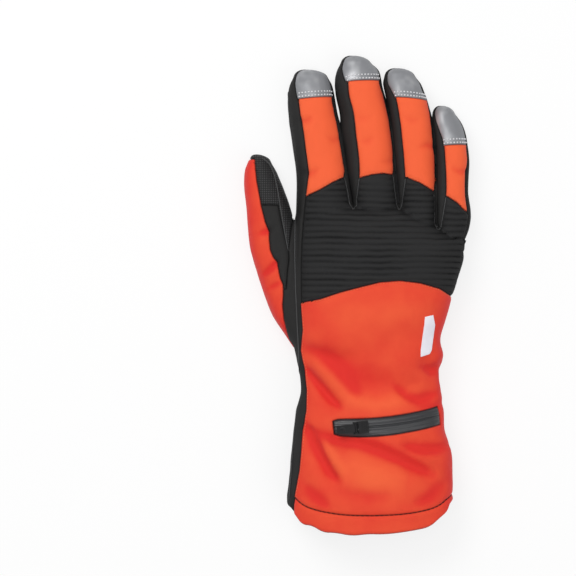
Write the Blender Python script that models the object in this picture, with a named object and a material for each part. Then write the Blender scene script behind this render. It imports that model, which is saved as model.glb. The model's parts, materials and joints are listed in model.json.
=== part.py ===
"""Insulated high-visibility work glove for a right hand, lying palm down.

Units are metres, with +Z up. The fingers point along +Y and the thumb lies on the -X side. The origin
is on the surface that the glove rests on, under the middle of its length and width. The padded wall
is one hollow shell, lofted through sections and cut along its seams into the panels that a glove
maker sews together. Each panel keeps a small gap to its neighbours.
"""

import math
from collections import namedtuple

import bmesh
import bpy
from mathutils import Matrix, Vector
from mathutils.bvhtree import BVHTree

# Driving dimensions.
GLOVE_LENGTH = 0.300
GLOVE_WIDTH = 0.1425
GLOVE_DEPTH = 0.044
FINGER_DEPTH = 0.026
THUMB_DEPTH = 0.027
DIGIT_FLOOR = 0.0004
WALL = 0.003
SEAM_GAP = 0.0003
PALM_SEAM_HEIGHT = 0.0085
CUFF_LEAN = 0.008
RIB_PITCH = 0.00375
RIB_HEIGHT = 0.0009
RIB_CELL = 0.0075
GATHER_PITCH = 0.006
GATHER_HEIGHT = 0.0012

# Zip, in the back of the cuff.
ZIP_WIDTH = 0.0115
TAPE_THICKNESS = 0.0012
TAPE_SINK = 0.0008
PATCH_THICKNESS = 0.0008
SLIDER_LENGTH = 0.0078
SLIDER_WIDTH = 0.0076
SLIDER_HEIGHT = 0.0024
SLIDER_PLACE = 0.0140
SLIDER_DROP = 0.0016
TONGUE_HEIGHT = 0.0007
PULL_LENGTH = 0.0120
PULL_WIDTH = 0.0052
PULL_THICKNESS = 0.0012
PIN_RADIUS = 0.0005
PIN_CLEARANCE = 0.0003
PIN_HEIGHT = 0.0022
PIN_TO_BLOCK = 0.0018

# Cross sections.
TOP_POWER = 2.3
SOLE_POWER = 2.8
WIDEST_LEVEL = 0.47
BODY_SIDES = 32
DIGIT_SIDES = 16
BODY_STEP = 0.0095
FACET_ANGLE = 4.0
SECTOR_REACH = 0.00045
SECTOR_SIDES = 10
SECTOR_STEP = 0.0025
OVERSHOOT = 0.02
FLOOR = -0.02
ROOF = 0.09

Station = namedtuple("Station", "along left right low high")
Digit = namedtuple("Digit", "along left right edge_left edge_right")
Section = namedtuple("Section", "along left right low high floor")
ThumbRow = namedtuple("ThumbRow", "along left right back_top back_low side_top side_low")
Fold = namedtuple("Fold", "x0 y0 x1 y1 width depth")

# Hand and cuff. along is a share of the length, left and right are shares of the width, both from the
# middle of the glove. low and high are shares of the depth. What would lie below the floor is pressed
# flat on it.
BODY = [
    Station(-0.540, -0.300, 0.405, -0.05, 1.00),
    Station(-0.469, -0.305, 0.408, -0.05, 1.00),
    Station(-0.437, -0.311, 0.412, -0.05, 1.00),
    Station(-0.385, -0.303, 0.410, -0.05, 0.99),
    Station(-0.323, -0.293, 0.406, -0.05, 0.97),
    Station(-0.281, -0.284, 0.377, -0.02, 0.94),
    Station(-0.240, -0.270, 0.373, 0.02, 0.90),
    Station(-0.198, -0.250, 0.360, 0.06, 0.86),
    Station(-0.169, -0.256, 0.351, 0.06, 0.86),
    Station(-0.135, -0.270, 0.373, 0.03, 0.88),
    Station(-0.094, -0.286, 0.360, -0.03, 0.92),
    Station(-0.050, -0.284, 0.385, -0.06, 0.96),
    Station(-0.010, -0.280, 0.412, -0.06, 0.97),
    Station(0.031, -0.280, 0.438, -0.06, 0.95),
    Station(0.083, -0.280, 0.469, -0.06, 0.90),
    Station(0.115, -0.278, 0.466, -0.05, 0.84),
    Station(0.135, -0.276, 0.484, -0.04, 0.78),
    Station(0.156, -0.272, 0.490, -0.02, 0.71),
    Station(0.175, -0.262, 0.478, 0.06, 0.62),
    Station(0.186, -0.235, 0.440, 0.20, 0.48),
]
WEB_DROP_FROM = 0.180
WEB_DROP_SLOPE = 0.25
WEB_DROP_START = 0.115

# Fingers, from root to tip. edge_left and edge_right are where the sewn back strip ends, as shares of
# the half width there.
FINGERS = {
    "index": [
        Digit(0.080, -0.262, -0.020, -0.95, 0.90),
        Digit(0.187, -0.268, -0.026, -0.80, 0.93),
        Digit(0.219, -0.268, -0.037, -0.68, 0.92),
        Digit(0.260, -0.270, -0.050, -0.57, 0.91),
        Digit(0.302, -0.281, -0.063, -0.56, 0.91),
        Digit(0.344, -0.294, -0.077, -0.52, 0.92),
        Digit(0.375, -0.305, -0.090, -0.54, 0.90),
        Digit(0.406, -0.309, -0.101, -0.56, 0.86),
        Digit(0.427, -0.307, -0.110, -0.56, 0.86),
        Digit(0.448, -0.298, -0.127, -0.58, 0.86),
        Digit(0.460, -0.285, -0.149, -0.62, 0.86),
        Digit(0.469, -0.264, -0.178, -0.70, 0.86),
    ],
    "middle": [
        Digit(0.080, -0.018, 0.180, -0.92, 0.92),
        Digit(0.187, -0.018, 0.177, -0.86, 0.94),
        Digit(0.219, -0.029, 0.167, -0.70, 0.95),
        Digit(0.260, -0.044, 0.159, -0.52, 0.96),
        Digit(0.302, -0.055, 0.151, -0.47, 0.96),
        Digit(0.333, -0.068, 0.145, -0.43, 0.96),
        Digit(0.385, -0.081, 0.129, -0.42, 0.96),
        Digit(0.417, -0.096, 0.114, -0.44, 0.95),
        Digit(0.448, -0.101, 0.099, -0.47, 0.93),
        Digit(0.469, -0.096, 0.085, -0.55, 0.92),
        Digit(0.487, -0.081, 0.048, -0.62, 0.90),
        Digit(0.4995, -0.060, 0.004, -0.70, 0.88),
    ],
    "ring": [
        Digit(0.060, 0.187, 0.346, -0.92, 0.90),
        Digit(0.150, 0.187, 0.346, -0.88, 0.93),
        Digit(0.198, 0.183, 0.344, -0.76, 0.92),
        Digit(0.240, 0.173, 0.341, -0.62, 0.92),
        Digit(0.281, 0.165, 0.336, -0.58, 0.92),
        Digit(0.323, 0.157, 0.330, -0.58, 0.93),
        Digit(0.354, 0.149, 0.325, -0.58, 0.92),
        Digit(0.385, 0.138, 0.316, -0.58, 0.92),
        Digit(0.412, 0.128, 0.304, -0.60, 0.90),
        Digit(0.440, 0.118, 0.279, -0.62, 0.88),
        Digit(0.460, 0.122, 0.244, -0.66, 0.88),
        Digit(0.472, 0.138, 0.205, -0.72, 0.86),
    ],
    "little": [
        Digit(0.010, 0.310, 0.395, -0.90, 0.86),
        Digit(0.100, 0.350, 0.462, -0.88, 0.86),
        Digit(0.165, 0.358, 0.499, -0.78, 0.84),
        Digit(0.205, 0.356, 0.485, -0.62, 0.80),
        Digit(0.245, 0.354, 0.485, -0.56, 0.80),
        Digit(0.281, 0.350, 0.488, -0.58, 0.84),
        Digit(0.313, 0.345, 0.482, -0.58, 0.86),
        Digit(0.340, 0.338, 0.473, -0.60, 0.86),
        Digit(0.362, 0.332, 0.460, -0.64, 0.86),
        Digit(0.380, 0.334, 0.434, -0.68, 0.86),
        Digit(0.391, 0.346, 0.402, -0.72, 0.86),
    ],
}
FINGER_NAMES = list(FINGERS)
# How high a digit lies along its length, from root to tip: share of the length, then its lowest and
# highest level as shares of its depth.
DIGIT_PROFILE = [
    (0.00, -0.08, 1.05),
    (0.30, -0.06, 1.03),
    (0.60, -0.02, 1.00),
    (0.80, -0.05, 0.95),
    (0.90, -0.05, 0.87),
    (0.96, 0.06, 0.76),
    (1.00, 0.26, 0.58),
]
# Where each reflective fingertip ends, as a share of the length of the glove.
TIP_LINES = {"index": 0.411, "middle": 0.447, "ring": 0.411, "little": 0.312}
# Where the grip wrap of each fingertip ends on the palm side.
WRAP_LINES = {"index": 0.428, "middle": 0.462, "ring": 0.438, "little": 0.354}

# Where each back strip starts under the knuckle panel.
STRIP_START = {"index": 0.190, "middle": 0.190, "ring": 0.165, "little": 0.130}
STRIP_FOOT = {
    "index": [(-0.60, 0.190), (-0.232, 0.196), (-0.058, 0.236), (-0.046, 0.262), (0.60, 0.262)],
    "middle": [(-0.60, 0.262), (-0.008, 0.262), (0.004, 0.232), (0.150, 0.236), (0.168, 0.262), (0.60, 0.262)],
    "ring": [(-0.60, 0.262), (0.196, 0.262), (0.208, 0.234), (0.322, 0.210), (0.338, 0.240), (0.60, 0.240)],
    "little": [(-0.60, 0.232), (0.378, 0.232), (0.390, 0.196), (0.440, 0.182), (0.60, 0.130)],
}
GUSSET_TOP = -0.200
GUSSET_ROOT = 0.165
TIP_MARGIN = 0.0025

# Thumb. Each edge is a share of the half width, seen from above: of the back strip on top and
# underneath, and of the side strips beyond it.
THUMB = [
    ThumbRow(-0.115, -0.276, -0.160, -0.97, 0.60, -0.96, 0.97),
    ThumbRow(-0.083, -0.320, -0.150, -0.94, 0.10, -0.92, 0.90),
    ThumbRow(-0.042, -0.373, -0.160, -0.54, -0.28, -0.50, 0.72),
    ThumbRow(0.000, -0.412, -0.180, -0.21, -0.35, -0.18, 0.45),
    ThumbRow(0.042, -0.443, -0.210, -0.14, -0.43, 0.14, 0.20),
    ThumbRow(0.083, -0.469, -0.238, -0.17, -0.46, 0.46, 0.10),
    ThumbRow(0.125, -0.482, -0.262, -0.19, -0.53, 0.48, 0.02),
    ThumbRow(0.167, -0.491, -0.287, -0.26, -0.60, 0.49, 0.02),
    ThumbRow(0.208, -0.498, -0.313, -0.32, -0.60, 0.57, 0.06),
    ThumbRow(0.240, -0.500, -0.341, -0.32, -0.58, 0.66, 0.15),
    ThumbRow(0.262, -0.495, -0.362, -0.32, -0.55, 0.74, 0.30),
    ThumbRow(0.279, -0.481, -0.384, -0.36, -0.55, 0.78, 0.40),
    ThumbRow(0.289, -0.458, -0.412, -0.40, -0.55, 0.78, 0.40),
]
THUMB_BACK_END = 0.277
THUMB_WRAP_LINE = 0.188
THUMB_SIDE_END = 0.012
SIDE_LOW_END = -0.098

# Outlines of the panels, seen from above, as shares of the width and of the length.
KNUCKLE_TOP = [(-0.30, 0.206), (-0.232, 0.206), (-0.170, 0.219), (-0.110, 0.235), (-0.050, 0.246),
               (-0.018, 0.172), (0.004, 0.244), (0.060, 0.251), (0.110, 0.254), (0.160, 0.252),
               (0.184, 0.172), (0.208, 0.246), (0.270, 0.235), (0.330, 0.220), (0.360, 0.130),
               (0.388, 0.206), (0.440, 0.192), (0.485, 0.172), (0.60, 0.172)]
KNUCKLE_LOW = [(0.60, -0.003), (0.415, -0.003), (0.360, 0.013), (0.272, 0.025), (0.184, 0.030),
               (0.096, 0.027), (0.009, 0.017), (-0.079, 0.006), (-0.167, -0.008), (-0.30, -0.020)]
KNUCKLE_ROOT = [(-0.30, 0.160), (0.180, 0.160), (0.360, 0.120), (0.60, 0.050)]
KNUCKLE_LEVEL = 0.44
GUSSET_EDGE = [(-0.232, 0.206), (-0.241, 0.167), (-0.250, 0.115), (-0.254, 0.060), (-0.252, -0.020),
               (-0.244, -0.073), (-0.253, -0.115), (-0.236, -0.155), (-0.226, -0.198),
               (-0.228, -0.240), (-0.244, -0.281), (-0.250, -0.323), (-0.258, -0.365),
               (-0.272, -0.400), (-0.286, -0.437), (-0.292, -0.60)]
HEM_LINE = [(-0.60, -0.425), (-0.289, -0.425), (-0.263, -0.437), (-0.220, -0.447), (-0.110, -0.455),
            (0.009, -0.458), (0.184, -0.456), (0.290, -0.451), (0.360, -0.444), (0.405, -0.429),
            (0.60, -0.420)]
CUFF_END = [(-0.60, -0.440), (-0.303, -0.452), (-0.254, -0.480), (-0.160, -0.494), (-0.030, -0.500),
            (0.150, -0.496), (0.316, -0.487), (0.382, -0.469), (0.412, -0.442), (0.60, -0.430)]
PALM_CUFF_LINE = [(-0.60, -0.160), (-0.250, -0.160), (-0.100, -0.168), (0.100, -0.180),
                  (0.300, -0.186), (0.60, -0.186)]
PALM_PATCH = [(-0.206, 0.088), (-0.175, 0.119), (-0.149, 0.138), (-0.088, 0.112), (-0.053, 0.077),
              (-0.044, 0.042), (-0.053, 0.000), (-0.079, -0.042), (-0.118, -0.083),
              (-0.158, -0.056), (-0.202, -0.021), (-0.241, 0.015), (-0.246, 0.050)]
WHITE_PATCH = [(0.289, -0.046), (0.325, -0.042), (0.333, -0.063), (0.316, -0.115), (0.307, -0.123),
               (0.268, -0.129), (0.268, -0.115), (0.285, -0.063)]
THUMB_VALLEY = [(-0.312, 0.400), (-0.300, 0.230), (-0.282, 0.158), (-0.300, 0.100), (-0.318, 0.060),
                (-0.330, 0.012)]
THUMB_SEAM = [(-0.276, 0.158), (-0.242, 0.110), (-0.224, 0.088), (-0.258, 0.055), (-0.270, 0.040),
              (-0.262, 0.012), (-0.250, -0.010)]

# Soft folds of the back of the cuff: each runs from x0, y0 to x1, y1. width is a share of the glove's
# length, and depth a share of its depth.
FOLDS = [
    Fold(-0.250, -0.118, -0.050, -0.135, 0.022, 0.050),
    Fold(-0.220, -0.160, -0.100, -0.225, 0.016, 0.055),
    Fold(0.060, -0.190, 0.300, -0.200, 0.028, 0.045),
    Fold(0.300, -0.145, 0.380, -0.170, 0.018, 0.060),
    Fold(-0.230, -0.290, -0.110, -0.385, 0.017, 0.055),
    Fold(-0.080, -0.310, 0.300, -0.370, 0.020, 0.055),
    Fold(0.230, -0.308, 0.410, -0.322, 0.018, 0.045),
]

# The middle line of the zip: its left end and right end, and how far its middle bows down.
ZIP_LEFT = (-0.109, -0.2755)
ZIP_RIGHT = (0.353, -0.2510)
ZIP_BOW = 0.0026
ZIP_STEPS = 10

# Colour, roughness and metallic value of each material.
COATINGS = {
    "orange_fabric": ((0.85, 0.13, 0.05), 0.75),
    "reflective_film": ((0.32, 0.33, 0.34), 0.45),
    "black_softshell": ((0.030, 0.030, 0.032), 0.85),
    "black_ribbed": ((0.022, 0.022, 0.024), 0.85),
    "grip_cloth": ((0.045, 0.045, 0.048), 0.70),
    "coated_tape": ((0.050, 0.050, 0.052), 0.40),
    "dark_metal": ((0.060, 0.060, 0.065), 0.35, 0.9),
    "white_cloth": ((0.76, 0.75, 0.80), 0.80),
}
COATING_OF = {
    "back_panel": "orange_fabric",
    "hem_back": "orange_fabric",
    "finger_back": "orange_fabric",
    "thumb_back": "orange_fabric",
    "fingertip": "reflective_film",
    "knuckle": "black_ribbed",
    "palm": "grip_cloth",
    "thumb_palm": "grip_cloth",
    "tip_wrap": "grip_cloth",
    "zipper_tape": "coated_tape",
    "zipper": "dark_metal",
    "white_patch": "white_cloth",
}

PARTS = bpy.data.collections.new("work_glove")
HELPERS = bpy.data.collections.new("cutters")


def plan(point):
    """A point of an outline, given as shares of the width and length, in metres."""
    return Vector((point[0] * GLOVE_WIDTH, point[1] * GLOVE_LENGTH))


def smooth_share(a, b, c, d, t):
    """The value at share t between b and c on a smooth curve that also passes a and d."""
    return 0.5 * (2 * b + (c - a) * t + (2 * a - 5 * b + 4 * c - d) * t * t + (3 * b - a - 3 * c + d) * t**3)


def rows_between(rows, step):
    """The rows with smooth ones added so that none are further apart than step along the glove."""
    found = []
    for i in range(len(rows) - 1):
        near = [rows[max(0, min(len(rows) - 1, j))] for j in (i - 1, i, i + 1, i + 2)]
        pieces = max(1, round((near[2].along - near[1].along) * GLOVE_LENGTH / step))
        for k in range(pieces):
            found.append(type(rows[0])(*(smooth_share(*column, k / pieces) for column in zip(*near))))
    return found + [rows[-1]]


def profile_at(share):
    """How low and high a digit lies at a share of its length, as shares of its depth."""
    for (t0, low0, high0), (t1, low1, high1) in zip(DIGIT_PROFILE, DIGIT_PROFILE[1:]):
        if share <= t1:
            t = (share - t0) / (t1 - t0)
            return low0 + (low1 - low0) * t, high0 + (high1 - high0) * t
    return DIGIT_PROFILE[-1][1:]


def section_of(row, start, end, depth):
    """The section of a digit at a row: its place along the glove, sides, and lowest and highest level."""
    low, high = profile_at((row.along - start) / (end - start))
    return Section(
        row.along * GLOVE_LENGTH,
        row.left * GLOVE_WIDTH,
        row.right * GLOVE_WIDTH,
        low * depth,
        high * depth,
        DIGIT_FLOOR,
    )


def digit_sections(rows, depth):
    return [section_of(row, rows[0].along, rows[-1].along, depth) for row in rows]


def body_sections():
    return [
        Section(
            row.along * GLOVE_LENGTH,
            row.left * GLOVE_WIDTH,
            row.right * GLOVE_WIDTH,
            row.low * GLOVE_DEPTH,
            row.high * GLOVE_DEPTH,
            0.0,
        )
        for row in rows_between(BODY, BODY_STEP)
    ]


def section_point(section, angle, grow):
    """The point of a section at an angle from +X towards +Z, with the section grown on all sides."""
    middle = (section.left + section.right) / 2
    low, high = section.low - grow, section.high + grow
    level = low + (high - low) * WIDEST_LEVEL
    half = (section.right - section.left) / 2 + grow
    power = TOP_POWER if math.sin(angle) >= 0 else SOLE_POWER
    across = math.copysign(abs(math.cos(angle)) ** (2 / power), math.cos(angle))
    up = math.copysign(abs(math.sin(angle)) ** (2 / power), math.sin(angle))
    rise = high - level if up > 0 else level - low
    return Vector((middle + half * across, section.along, max(level + rise * up, section.floor - grow)))


def fold_at(x, y):
    """How far the folds of the cuff lower its back at a place."""
    lowered = 0.0
    for fold in FOLDS:
        a, b = plan((fold.x0, fold.y0)), plan((fold.x1, fold.y1))
        t = max(0.0, min(1.0, (Vector((x, y)) - a).dot(b - a) / (b - a).length_squared))
        away = (Vector((x, y)) - a - (b - a) * t).length / (fold.width * GLOVE_LENGTH)
        lowered += fold.depth * GLOVE_DEPTH * math.exp(-away * away)
    return lowered


def settle_body_point(point, section):
    """Presses the folds into the back, and lets the front edge fall back towards the little finger."""
    level = section.low + (section.high - section.low) * WIDEST_LEVEL
    up = max(0.0, (point.z - level) / (section.high - level))
    point.z -= fold_at(point.x, point.y) * min(1.0, up * 1.5)
    start = WEB_DROP_START * GLOVE_LENGTH
    share = max(0.0, (section.along - start) / (BODY[-1].along * GLOVE_LENGTH - start))
    past = max(0.0, point.x - WEB_DROP_FROM * GLOVE_WIDTH)
    point.y -= share * past * WEB_DROP_SLOPE * GLOVE_LENGTH / GLOVE_WIDTH
    return point


def new_object(name, mesh, collection=HELPERS):
    made = bpy.data.objects.new(name, mesh)
    collection.objects.link(made)
    if collection is HELPERS:
        made.hide_render = True
        made.display_type = "WIRE"
    return made


def loft(name, rings):
    """A closed solid through rings of the same number of points, each ring running round +Y."""
    shape = bmesh.new()
    rows = [[shape.verts.new(point) for point in ring] for ring in rings]
    for ring, following in zip(rows, rows[1:]):
        for i in range(len(ring)):
            j = (i + 1) % len(ring)
            shape.faces.new((ring[i], ring[j], following[j], following[i]))
    shape.faces.new(rows[0][::-1])
    shape.faces.new(rows[-1])
    bmesh.ops.recalc_face_normals(shape, faces=shape.faces)
    bmesh.ops.triangulate(shape, faces=shape.faces)
    mesh = bpy.data.meshes.new(name)
    shape.to_mesh(mesh)
    shape.free()
    return new_object(name, mesh)


def round_angles(sides):
    return [2 * math.pi * (i + 0.5) / sides for i in range(sides)]


def body_tube(name, inset):
    """The hand and cuff. Inside, the tube runs on past the open end of the cuff."""
    rings = []
    for section in body_sections():
        ring = [section_point(section, angle, -inset) for angle in round_angles(BODY_SIDES)]
        rings.append([settle_body_point(point, section) for point in ring])
    if inset:
        front = len(rings) - 1
        for point in rings[front]:
            point.y -= inset
        for point in rings[front - 1]:
            point.y -= inset / 2
        for point in rings[0]:
            point.y -= OVERSHOOT
    return loft(name, rings)


def digit_tube(name, rows, depth, inset):
    """A finger or thumb. Inside, it stops short of the tip by the wall."""
    sections = digit_sections(rows, depth)
    start, end = sections[0].along, sections[-1].along
    rings = []
    for section in sections:
        ring = [section_point(section, angle, -inset) for angle in round_angles(DIGIT_SIDES)]
        for point in ring:
            point.y = start + (point.y - start) * (end - start - inset) / (end - start)
        rings.append(ring)
    return loft(name, rings)


def edge_angle(share, above):
    """The angle round a section where its surface lies at a share of the half width."""
    power = TOP_POWER if above else SOLE_POWER
    across = math.copysign(abs(share) ** (power / 2), share)
    angle = math.acos(max(-1.0, min(1.0, across)))
    return angle if above else 2 * math.pi - angle


def sector(name, sections, angles, grow=0.0):
    """A wedge round the axis of a digit, between two angles at each section, for cutting a strip."""
    rings = []
    for section, (start, end) in zip(sections, angles):
        half = (section.right - section.left) / 2
        first, last = start - 1.5 * grow / half, end + 1.5 * grow / half
        middle = (section.left + section.right) / 2
        level = section.low + (section.high - section.low) * WIDEST_LEVEL
        turns = [first + (last - first) * i / SECTOR_SIDES for i in range(SECTOR_SIDES + 1)]
        away = (start + end) / 2
        back = 2 * grow
        ring = [Vector((middle - math.cos(away) * back, section.along, level - math.sin(away) * back))]
        rings.append(ring + [section_point(section, turn, SECTOR_REACH + grow) for turn in turns])
    return loft(name, rings)


def grown_outline(points, grow):
    """The outline with each side moved outwards, for points that run anticlockwise."""
    count = len(points)
    moved = []
    for i in range(count):
        before, here, after = points[i - 1], points[i], points[(i + 1) % count]
        sides = [(here - before).normalized(), (after - here).normalized()]
        normals = [Vector((side.y, -side.x)) for side in sides]
        middle = (normals[0] + normals[1]) / 2
        moved.append(here + middle * grow / max(0.3, middle.length_squared))
    return moved


def prism(name, outline, low, high, grow=0.0, lean=0.0):
    """An upright block over an outline given in metres. With a lean, its foot is set back along +Y."""
    points = list(outline)
    turning = sum(a.x * b.y - b.x * a.y for a, b in zip(points, points[1:] + points[:1]))
    if turning < 0:
        points.reverse()
    points = grown_outline(points, grow)
    slope = lean / GLOVE_DEPTH
    shape = bmesh.new()
    foot = [shape.verts.new((p.x, p.y + slope * (GLOVE_DEPTH - low), low)) for p in points]
    bottom = shape.faces.new(foot)
    top = bmesh.ops.extrude_face_region(shape, geom=[bottom])["geom"]
    raised = [v for v in top if isinstance(v, bmesh.types.BMVert)]
    bmesh.ops.translate(shape, verts=raised, vec=(0, -slope * (high - low), high - low))
    bmesh.ops.recalc_face_normals(shape, faces=shape.faces)
    mesh = bpy.data.meshes.new(name)
    shape.to_mesh(mesh)
    shape.free()
    return new_object(name, mesh)


def combine(target, other, operation):
    """Applies a Boolean of the other object to the target."""
    modifier = target.modifiers.new(operation, "BOOLEAN")
    modifier.operation = operation
    modifier.solver = "MANIFOLD"  # the exact solver loses the fingers in these unions
    modifier.object = other
    graph = bpy.context.evaluated_depsgraph_get()
    mesh = bpy.data.meshes.new_from_object(target.evaluated_get(graph))
    target.modifiers.clear()
    old, target.data = target.data, mesh
    bpy.data.meshes.remove(old)
    return target


def discard(*objects):
    for made in objects:
        bpy.data.objects.remove(made)


def fused(first, *others):
    """Joins solids into the first one."""
    for other in others:
        combine(first, other, "UNION")
        discard(other)
    return first


def copied(source, name):
    return new_object(name, source.data.copy())


def take(shell, name, region):
    """Cuts a panel out of the shell. region(grow) makes the block that holds it."""
    tight = region(0.0)
    panel = combine(copied(shell, name), tight, "INTERSECT")
    wide = region(SEAM_GAP)
    combine(shell, wide, "DIFFERENCE")
    discard(tight, wide)
    return panel


def build_shell():
    """The padded wall of the whole glove, open at the cuff."""
    outer, inner = body_tube("outer", 0.0), body_tube("inner", WALL)
    for name, rows in FINGERS.items():
        fused(outer, digit_tube(name + "_out", rows, FINGER_DEPTH, 0.0))
        fused(inner, digit_tube(name + "_in", rows, FINGER_DEPTH, WALL))
    fused(outer, digit_tube("thumb_out", THUMB, THUMB_DEPTH, 0.0))
    fused(inner, digit_tube("thumb_in", THUMB, THUMB_DEPTH, WALL))
    combine(outer, inner, "DIFFERENCE")
    end = [plan(point) for point in CUFF_END]
    low = Vector((0, -GLOVE_LENGTH))
    cut = prism(
        "cuff_end", [end[0] + low] + end + [end[-1] + low], FLOOR, ROOF, lean=CUFF_LEAN
    )
    combine(outer, cut, "DIFFERENCE")
    discard(inner, cut)
    outer.name = "shell"
    return outer


def plan_region(name, points, low=FLOOR, high=ROOF, lean=0.0):
    """The region over an outline given as shares, for take."""
    outline = [plan(point) for point in points]
    return lambda grow: prism(name + "_cut", outline, low - grow, high + grow, grow, lean)


def joined_region(*regions):
    """One region made of several that overlap."""

    def region(grow):
        first, *others = [part(grow) for part in regions]
        return fused(first, *others)

    return region


def crossed_region(first, second):
    """The region that two others share."""

    def region(grow):
        made, other = first(grow), second(grow)
        combine(made, other, "INTERSECT")
        discard(other)
        return made

    return region


def stretch(sections, start, end):
    """The sections between two places, given as shares of the length, with more added between them."""
    start, end = start * GLOVE_LENGTH, end * GLOVE_LENGTH
    end = min(end, sections[-1].along)
    count = max(4, round((end - start) / SECTOR_STEP))
    found = []
    for i in range(count + 1):
        place = start + (end - start) * i / count
        for near, far in zip(sections, sections[1:]):
            if place <= far.along:
                break
        t = (place - near.along) / (far.along - near.along)
        found.append(Section(*(a + (b - a) * t for a, b in zip(near, far))))
    return found


def value_at(rows, column, along):
    """A column of a table at a place along the glove."""
    for near, far in zip(rows, rows[1:]):
        if along <= far.along * GLOVE_LENGTH:
            t = (along / GLOVE_LENGTH - near.along) / (far.along - near.along)
            return getattr(near, column) + (getattr(far, column) - getattr(near, column)) * t
    return getattr(rows[-1], column)


def sector_region(name, rows, depth, start, end, first, last):
    """The region of a sewn strip of a digit. first and last name the edge columns and say whether
    each edge lies on the upper side."""
    sections = stretch(digit_sections(rows, depth), start, end)
    angles = []
    for section in sections:
        shares = [value_at(rows, column, section.along) for column, _ in (first, last)]
        angles.append(
            (edge_angle(shares[0], first[1]), edge_angle(shares[1], last[1]))
        )
    tip = end >= rows[-1].along

    def region(grow):
        moved = list(sections)
        moved[0] = moved[0]._replace(along=moved[0].along - grow)
        if not tip:
            moved[-1] = moved[-1]._replace(along=moved[-1].along + grow)
        turned = list(angles)
        if tip:
            moved.append(moved[-1]._replace(along=moved[-1].along + SECTOR_REACH * 3))
            turned.append(turned[-1])
        return sector(name + "_cut", moved, turned, grow)

    return region


def strip_region(name, start, end):
    rows = FINGERS[name]
    return sector_region(
        name, rows, FINGER_DEPTH, start, end, ("edge_right", True), ("edge_left", True)
    )


def beyond_region(name, start):
    """The region of everything of a finger beyond a place along it."""
    rows = [row for row in FINGERS[name] if row.along > start]
    at = start * GLOVE_LENGTH
    right = [(value_at(FINGERS[name], "right", at) + TIP_MARGIN, start)]
    right += [(row.right + TIP_MARGIN, row.along) for row in rows]
    left = [(value_at(FINGERS[name], "left", at) - TIP_MARGIN, start)]
    left += [(row.left - TIP_MARGIN, row.along) for row in rows]
    top = [(right[-1][0], start + 0.2), (left[-1][0], start + 0.2)]
    return plan_region(name + "_beyond", right + top + left[::-1])


def below(line, low=-0.7):
    """The outline of everything on the cuff's side of a line across the glove."""
    return [(line[0][0], low)] + list(line) + [(line[-1][0], low)]


def palm_side(grow):
    """Everything below the seam between the back of the glove and its palm side."""
    corners = [(-0.7, -0.7), (0.7, -0.7), (0.7, 0.7), (-0.7, 0.7)]
    return prism("palm_side", [plan(corner) for corner in corners], FLOOR, PALM_SEAM_HEIGHT + grow)


def thumb_region(name, start, end, first, last):
    return sector_region(name, THUMB, THUMB_DEPTH, start, end, first, last)


def cut_thumb(shell):
    root = THUMB[0].along
    pieces = {
        "thumb_back": thumb_region("strip", root, THUMB_BACK_END, ("back_top", True), ("back_low", False)),
        "thumb_side_upper": thumb_region(
            "upper", THUMB_SIDE_END, THUMB_WRAP_LINE, ("side_top", True), ("back_top", True)
        ),
        "thumb_side_lower": thumb_region(
            "lower", SIDE_LOW_END, THUMB_WRAP_LINE, ("back_low", False), ("side_low", False)
        ),
        "thumb_palm": joined_region(
            plan_region("inner", [(-0.60, 0.012), (-0.60, 0.400)] + THUMB_VALLEY),
            plan_region("under", [(-0.60, 0.158)] + THUMB_SEAM + [(-0.60, -0.010)], high=PALM_SEAM_HEIGHT),
        ),
    }
    return {name: take(shell, name, region) for name, region in pieces.items()}


def cut_fingers(shell):
    pieces = {}
    for name in FINGER_NAMES:
        tip = FINGERS[name][-1].along
        pieces["fingertip_" + name] = take(
            shell, "fingertip_" + name, strip_region(name, TIP_LINES[name], tip)
        )
        pieces["tip_wrap_" + name] = take(
            shell, "tip_wrap_" + name, beyond_region(name, WRAP_LINES[name])
        )
    return pieces


def cut_palm(shell):
    palm = take(shell, "palm_panel", palm_side)
    pieces = {
        "cuff_palm": take(palm, "cuff_palm", plan_region("cuff", below(PALM_CUFF_LINE))),
        "palm_patch": take(palm, "palm_patch", plan_region("patch", PALM_PATCH)),
        "palm_panel": palm,
    }
    return pieces


def middle_line(rows):
    """The middle line of a finger seen from above, from inside the hand out past its tip."""
    line = [((row.left + row.right) / 2, row.along) for row in rows if row.along > 0.10]
    return [(line[0][0], 0.08)] + line + [(line[-1][0], 0.52)]


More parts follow.
